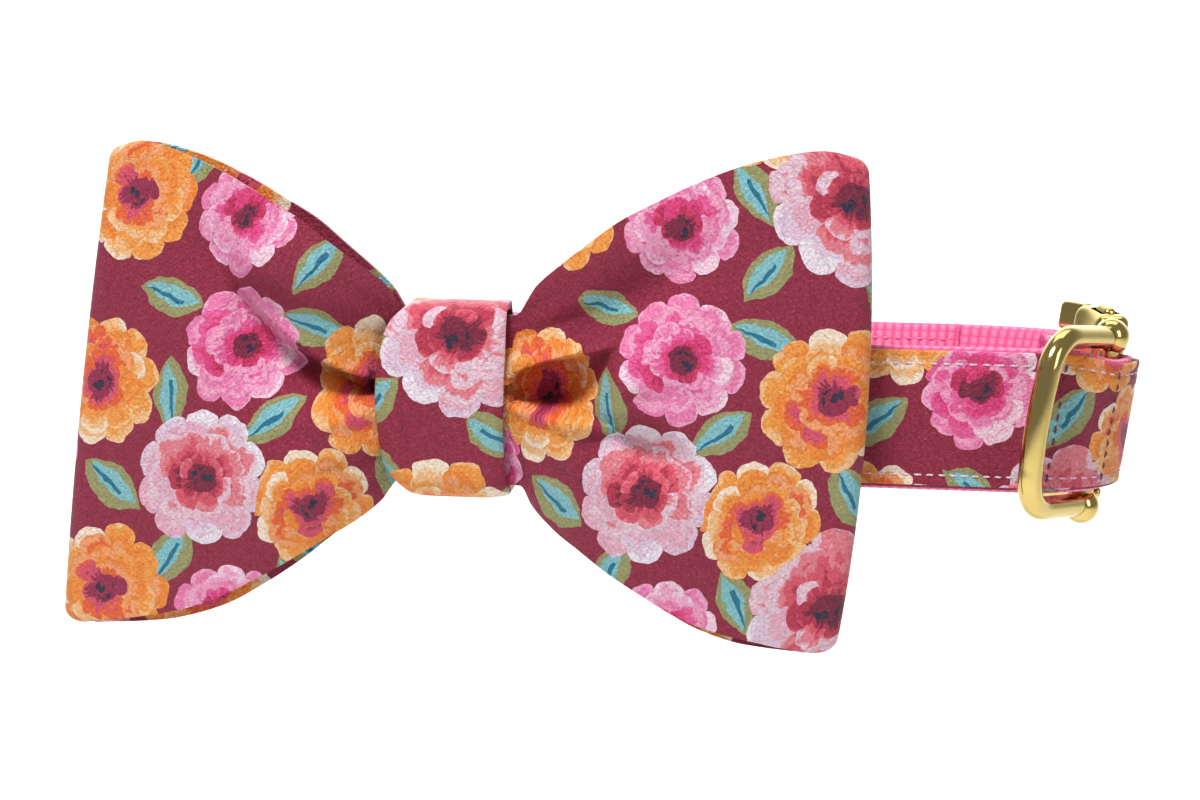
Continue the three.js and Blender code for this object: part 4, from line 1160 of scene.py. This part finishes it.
@dataclass
class Ring:
    """The D-ring, a wire with ball-like corners. Sizes in millimetres."""

    strap: Strap
    wire: float = 1.8
    inside: float = 26.8
    reach: float = 22.8
    corner: float = 2.6
    shoulder: float = 7.0
    bow: float = 0.7
    hangs: float = 1.0
    rest_turn: float = math.radians(96.5)
    arc_wire: float = 2.1
    ball: float = 3.2
    ball_lift: float = 0.2
    ball_out: float = -0.2
    sides: int = 28
    ball_rings: int = 16

    def outline(self) -> np.ndarray:
        """Outline in the ring's own plane: straights, quarter circles and a slightly bowed front.

        Returns:
            Rows of distance from the bar and place along it, anticlockwise.
        """
        half = self.inside / 2 + self.wire
        turn = np.linspace(0, math.pi / 2, 17)[:-1, None]
        shoulder = self.reach - self.bow - self.shoulder

        def arc(cx: float, cy: float, radius: float, start: float) -> np.ndarray:
            """Quarter circle from a start angle, anticlockwise."""
            return np.concatenate([cx + radius * np.cos(start + turn), cy + radius * np.sin(start + turn)], 1)

        def line(a: tuple[float, float], b: tuple[float, float], steps: int) -> np.ndarray:
            """Straight from a to b without its last point."""
            t = np.arange(steps)[:, None] / steps
            return np.array(a) * (1 - t) + np.array(b) * t

        t = np.arange(24)[:, None] / 24
        out, up = self.reach - self.bow, half - self.shoulder
        front = ((1 - t) ** 2 * np.array([out, -up]) + 2 * t * (1 - t) * np.array([self.reach + self.bow, 0])
                 + t * t * np.array([out, up]))
        return np.concatenate([
            line((0, half - self.corner), (0, self.corner - half), 30),
            arc(self.corner, self.corner - half, self.corner, math.pi),
            line((self.corner, -half), (shoulder, -half), 10),
            arc(shoulder, self.shoulder - half, self.shoulder, -math.pi / 2),
            front,
            arc(shoulder, half - self.shoulder, self.shoulder, 0.0),
            line((shoulder, half), (self.corner, half), 10),
            arc(self.corner, half - self.corner, self.corner, math.pi / 2)])

    def place(self, points: np.ndarray) -> np.ndarray:
        """Puts points of the ring's own frame on the leaning bar, at rest against the strap."""
        strap = self.strap
        turn = strap.bar_turn - math.pi / 2 - self.rest_turn
        depth = strap.webbing_thick / 2 + strap.tunnel_play + self.wire
        at, _ = strap.loop_point(np.array([strap.bar_place]), -depth)
        c, s = math.cos(turn), math.sin(turn)
        across, up, z = np.moveaxis(points, -1, 0)
        x, y = across * c - up * s, across * s + up * c
        cl, sl = math.cos(strap.lean), math.sin(strap.lean)
        return np.stack([x * cl + z * sl + at[0, 0] - self.hangs * sl, y + at[0, 1],
                         z * cl - x * sl - self.hangs * cl], -1)

    def build(self, material: bpy.types.Material) -> None:
        """Makes the wire as a circle carried round the outline, and the two ball corners."""
        outline = self.outline()
        along = unit(np.roll(outline, -1, 0) - np.roll(outline, 1, 0))
        normal = np.stack([along[:, 1], -along[:, 0]], 1)
        turn = 2 * math.pi * np.arange(self.sides) / self.sides
        radius = self.wire + (self.arc_wire - self.wire) * smooth(0.2, 2.0, outline[:, 0])
        flat = outline[:, None] + normal[:, None] * (radius[:, None] * np.cos(turn))[..., None]
        thick = radius[:, None] * np.sin(turn)
        wire = np.stack([flat[..., 0], thick, flat[..., 1]], -1).reshape(-1, 3)
        faces = grid_faces(len(outline), self.sides, wrap_rows=True, wrap_columns=True).tolist()
        points = [wire]
        rings, around = self.ball_rings, self.sides
        lat = np.linspace(0, math.pi, rings + 1)[1:-1, None]
        sphere = np.sin(lat)[..., None] * np.stack([np.cos(turn), np.sin(turn), 0 * turn], -1)
        sphere[..., 2] = np.cos(lat)
        sphere = np.concatenate([sphere.reshape(-1, 3), [[0, 0, 1], [0, 0, -1]]]) * self.ball
        top, bottom, ring = sphere.shape[0] - 2, sphere.shape[0] - 1, np.arange(around)
        onwards, last = (ring + 1) % around, (rings - 2) * around
        ball_faces = [*grid_faces(rings - 1, around, wrap_columns=True),
                      *np.stack([np.full(around, top), ring, onwards], 1),
                      *np.stack([np.full(around, bottom), last + onwards, last + ring], 1)]
        for sign in (1, -1):
            base = sum(len(p) for p in points)
            faces += [face + base for face in ball_faces]
            points.append(sphere + (self.ball_out, 0, sign * (self.inside / 2 + self.wire + self.ball_lift)))
        obj = build_mesh("dee_ring", self.place(np.concatenate(points)), faces)
        place_piece(obj, Body.RING, "d_ring", material)


@dataclass
class Buckle:
    """The two halves of the contoured side-release buckle. Sizes in millimetres.

    Lengths run along the far corner's arc from the near bar, depths out from the strap's middle,
    and heights up from its centre line.
    """

    strap: Strap
    half_height: float = 16.2
    frame_half_height: float = 15.6
    far_frame_half_height: float = 16.2
    leg_inside: float = 13.3
    far_leg_inside: float = 11.7
    leg_past_bar: float = 1.4
    plate: tuple[float, float] = (-3.4, -0.6)
    plate_start: float = 4.8
    socket: tuple[float, float] = (-5.2, 1.2)
    socket_start: float = 8.4
    window: tuple[float, float] = (11.0, 17.2)
    window_floor: float = 13.5
    button: tuple[float, float] = (11.6, 16.6)
    button_proud: float = 0.8
    bar_radius: float = 0.9
    taper: float = 0.14
    gap: float = 0.3
    step: float = 1.2
    edge_steps: int = 5
    bar_inset: float = 0.7
    leg_edge: float = 0.9
    plate_edge: float = 1.0
    socket_edge: float = 1.9
    socket_wall: float = 1.3
    window_edge: float = 0.8
    window_past: float = 3.0
    sharp_from: float = math.radians(38)

    def block(self, length: tuple[float, float], depth: tuple[float, float], height: tuple[float, float],
              radius: float) -> tuple[np.ndarray, np.ndarray]:
        """Makes a box with round edges, not yet bent.

        Each point of the plain box moves to the given radius from the closest point of a box that
        is smaller by the radius on every side.

        Args:
            length: First and last length.
            depth: First and last depth.
            height: First and last height.
            radius: Radius of the edges.

        Returns:
            Points and quads.
        """
        low, high = (np.array([span[i] for span in (length, depth, height)]) for i in (0, 1))
        # A hair less, so that a box as thin as its two edges keeps a smaller box inside
        radius *= 0.999
        inner_low, inner_high = low + radius, high - radius
        steps = np.maximum(2, np.ceil((inner_high - inner_low) / self.step) + 1).astype(int)
        axes = [np.concatenate([np.linspace(low[a], inner_low[a], self.edge_steps)[:-1],
                                np.linspace(inner_low[a], inner_high[a], steps[a]),
                                np.linspace(inner_high[a], high[a], self.edge_steps)[1:]]) for a in range(3)]
        points, quads = [], []
        for axis, (u, v) in enumerate(((1, 2), (2, 0), (0, 1))):
            grid_u, grid_v = np.meshgrid(axes[u], axes[v], indexing="ij")
            for end, level in ((0, low[axis]), (1, high[axis])):
                side = np.empty((*grid_u.shape, 3))
                side[..., u], side[..., v], side[..., axis] = grid_u, grid_v, level
                faces = grid_faces(len(axes[u]), len(axes[v])) + sum(len(p) for p in points)
                quads.append(faces if end else faces[:, ::-1])
                points.append(side.reshape(-1, 3))
        shared, numbers = np.unique(np.round(np.concatenate(points), 5), axis=0, return_inverse=True)
        inner = np.clip(shared, inner_low, inner_high)
        return inner + unit(shared - inner) * radius, numbers.reshape(-1)[np.concatenate(quads)]

    def bend(self, points: np.ndarray, tongue: bool) -> np.ndarray:
        """Bends points along the corner's arc, tapers them, lowers the tongue's top and leans them."""
        strap = self.strap
        length, depth, height = points.T
        turn = length / strap.far_radius
        away = strap.far_radius + depth
        x = strap.right - strap.far_radius + away * np.cos(turn)
        y = strap.near_radius - strap.half_depth + away * np.sin(turn)
        drop = strap.narrowing * (1 - smooth(self.leg_past_bar, self.socket_start - self.gap, length))
        z = height * (1 + self.taper * smooth(0, strap.buckle_length, length))
        z = z - (drop * (height / self.half_height + 1) / 2 if tongue else 0)
        return strap.lean_out(np.stack([x, y, z], 1))

    def carve(self, obj: bpy.types.Object, cutter: bpy.types.Object) -> None:
        """Cuts one object out of another and removes the cutter."""
        add_modifier(obj, "BOOLEAN", object=cutter, operation="DIFFERENCE", solver="EXACT")
        cut = bpy.data.meshes.new_from_object(obj.evaluated_get(bpy.context.evaluated_depsgraph_get()))
        obj.modifiers.clear()
        obj.data = cut
        bpy.data.objects.remove(cutter)

    def merge(self, name: str, blocks: list[tuple[np.ndarray, np.ndarray]], tongue: bool) -> bpy.types.Object:
        """Joins blocks into one bent object."""
        points = np.concatenate([b[0] for b in blocks])
        starts = np.cumsum([0] + [len(b[0]) for b in blocks[:-1]])
        faces = np.concatenate([b[1] + start for b, start in zip(blocks, starts)])
        return build_mesh(name, self.bend(points, tongue), faces, turned=True)

    def pair(self, length: tuple[float, float], depth: tuple[float, float], low: float, high: float,
             radius: float) -> list[tuple[np.ndarray, np.ndarray]]:
        """Makes the same block above and below the strap."""
        return [self.block(length, depth, span, radius) for span in ((low, high), (-high, -low))]

    def frame(self, bar: float, inward: int, leg_inside: float,
              half_height: float) -> list[tuple[np.ndarray, np.ndarray]]:
        """Makes a bar and its two legs, which run on to the body at the inward side."""
        ends = sorted((bar - inward * self.leg_past_bar, bar + inward * (self.plate_start + 1)))
        depth, radius, reach = sum(self.plate) / 2, self.bar_radius, half_height - self.bar_inset
        rod = self.block((bar - radius, bar + radius), (depth - radius, depth + radius), (-reach, reach),
                         radius)
        return [rod, *self.pair(tuple(ends), self.plate, leg_inside, half_height, self.leg_edge)]

    def build(self, material: bpy.types.Material) -> None:
        """Makes both halves: the tongue with its buttons, and the socket with its windows."""
        end = self.strap.buckle_length
        tongue = self.frame(0.0, 1, self.leg_inside, self.frame_half_height)
        tongue.append(self.block((self.plate_start, self.socket_start - self.gap), self.plate,
                                 (-self.frame_half_height, self.frame_half_height), self.plate_edge))
        tongue += self.pair(self.button, (self.plate[0] + self.gap, self.plate[1] - self.gap),
                            self.window_floor + self.gap, self.half_height + self.button_proud, self.leg_edge)
        obj = self.merge("buckle_tongue_half", tongue, True)
        place_piece(obj, Body.COLLAR, "buckle_tongue", material)
        body = self.block((self.socket_start, end - self.plate_start), self.socket,
                          (-self.half_height, self.half_height), self.socket_edge)
        obj = self.merge("buckle_socket_half", [body], False)
        depth = (self.socket[0] + self.socket_wall, self.socket[1] - self.socket_wall)
        past = self.half_height + self.window_past
        for window in self.pair(self.window, depth, self.window_floor, past, self.window_edge):
            self.carve(obj, self.merge("window", [window], False))
        far_frame = self.frame(end, -1, self.far_leg_inside, self.far_frame_half_height)
        self.join(obj, self.merge("far_frame", far_frame, False))
        obj.data.set_sharp_from_angle(angle=self.sharp_from)
        place_piece(obj, Body.COLLAR, "buckle_socket", material)

    def join(self, obj: bpy.types.Object, other: bpy.types.Object) -> None:
        """Adds another object's mesh to an object's and removes the other object."""
        first, second = obj.data, other.data
        points = [np.zeros(len(m.vertices) * 3) for m in (first, second)]
        for mesh, values in zip((first, second), points):
            mesh.vertices.foreach_get("co", values)
        faces = [list(p.vertices) for p in first.polygons]
        faces += [[v + len(first.vertices) for v in p.vertices] for p in second.polygons]
        mesh = bpy.data.meshes.new(obj.name)
        mesh.from_pydata(np.concatenate(points).reshape(-1, 3).tolist(), [], faces)
        mesh.polygons.foreach_set("use_smooth", np.ones(len(mesh.polygons), bool))
        obj.data = mesh
        bpy.data.objects.remove(other)


@dataclass
class Studio:
    """The camera of the photograph, the paper sweep and the lights. Lengths in millimetres."""

    azimuth: float = math.radians(8)
    elevation: float = math.radians(6.30)
    roll: float = math.radians(0.89)
    distance: float = 520.0
    target: tuple[float, float, float] = (-10.9, 0.0, -1.4)
    focal_pixels: float = 2773.0
    image_width: float = 1200.0
    sensor: float = 36.0
    floor: float = -220.0
    sweep_start: float = 900.0
    sweep_radius: float = 700.0
    sweep_reach: float = 7000.0
    sweep_height: float = 2500.0
    surround: float = 0.24

    def aim(self, back: np.ndarray, at: np.ndarray, roll: float = 0.0) -> Matrix:
        """Turns a camera or light so that its back points along a direction.

        Args:
            back: Unit direction away from what it faces.
            at: Its place in metres.
            roll: Its roll.

        Returns:
            Its placement.
        """
        right = unit(np.cross([0, 0, 1.0], back))
        up, c, s = np.cross(back, right), math.cos(roll), math.sin(roll)
        turned = [right * c + up * s, up * c - right * s, back, at]
        return Matrix(np.vstack([np.stack(turned, 1), [0, 0, 0, 1]]).tolist())

    def build_camera(self) -> None:
        """Puts the camera on the fitted place, turned and rolled as fitted."""
        a, e = self.azimuth, self.elevation
        back = np.array([math.sin(a) * math.cos(e), -math.cos(a) * math.cos(e), math.sin(e)])
        camera = bpy.data.cameras.new("camera")
        camera.sensor_width = self.sensor
        camera.lens = self.focal_pixels * self.sensor / self.image_width
        camera.clip_start, camera.clip_end = 0.01, 20.0
        obj = bpy.data.objects.new("camera", camera)
        obj.matrix_world = self.aim(back, (np.array(self.target) + back * self.distance) * MM, self.roll)
        bpy.context.scene.collection.objects.link(obj)
        bpy.context.scene.camera = obj

    def build_sweep(self, material: bpy.types.Material) -> None:
        """Makes the floor, which curves up into a wall behind the collar."""
        turn = np.linspace(0, math.pi / 2, 33)
        y = np.concatenate([[-self.sweep_reach, 0], self.sweep_start + self.sweep_radius * np.sin(turn),
                            [self.sweep_start + self.sweep_radius]])
        z = np.concatenate([[0, 0], self.sweep_radius * (1 - np.cos(turn)), [self.sweep_height]]) + self.floor
        sides = np.array([-self.sweep_reach, self.sweep_reach])
        points = np.stack(np.broadcast_arrays(sides[None, :], y[:, None], z[:, None]), -1)
        obj = build_mesh("floor", points.reshape(-1, 3), grid_faces(len(y), 2), turned=True)
        obj.data.materials.append(material)

    def add_light(self, name: str, at: tuple[float, float, float], size: tuple[float, float], power: float,
                  toward: tuple[float, float, float] = (0, 0, 0)) -> None:
        """Adds a softbox.

        Args:
            name: The light's name.
            at: Its place in metres.
            size: Its width and height in metres.
            power: Its power in watts.
            toward: The place that it faces, in metres.
        """
        light = bpy.data.lights.new(name, "AREA")
        light.shape, light.size, light.size_y, light.energy = "RECTANGLE", *size, power
        obj = bpy.data.objects.new(name, light)
        obj.matrix_world = self.aim(unit(np.subtract(at, toward)), np.array(at))
        bpy.context.scene.collection.objects.link(obj)

    def build_lights(self) -> None:
        """Sets a pale surround, three softboxes on the collar and one on the paper behind it."""
        world = bpy.data.worlds.new("studio")
        world.use_nodes = True
        background = world.node_tree.nodes["Background"]
        fill_inputs(background, {"Color": linear("#FFFFFF"), "Strength": self.surround})
        bpy.context.scene.world = world
        self.add_light("key", (-0.22, -0.56, 0.92), (0.34, 0.3), 14.0)
        self.add_light("fill", (0.8, -0.6, 0.35), (0.3, 0.6), 1.8)
        self.add_light("top", (0.05, 0.3, 1.0), (0.9, 0.6), 3.0)
        self.add_light("paper", (0.0, 0.85, 1.15), (2.4, 0.5), 26.0, (0.0, 1.9, 0.5))
        bpy.context.scene.view_settings.view_transform = "Standard"


def main() -> None:
    logging.basicConfig(level=logging.INFO, format="%(name)s: %(message)s")
    studio = Studio()
    studio.build_camera()
    cotton = PrintedCotton().build()
    webbing = WovenWebbing().build()
    gold = GoldPlating().build()
    pale = SewingThread().build()
    pink = SewingThread("pink sewing thread", "#EE86AE", "#D9608F").build()
    burgundy = SewingThread("burgundy sewing thread", "#7A2340", "#5C1A30").build()
    strap = Strap()
    strap.build_webbing(webbing)
    strap.build_cover(cotton)
    strap.build_stitching(pale, pink, burgundy)
    bow = Bow()
    bow.build_loop(cotton)
    Knot(bow).build(cotton)
    Ring(strap).build(gold)
    Buckle(strap).build(gold)
    studio.build_sweep(StudioPaper().build())
    studio.build_lights()
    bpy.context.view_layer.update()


if __name__ == "__main__":
    main()
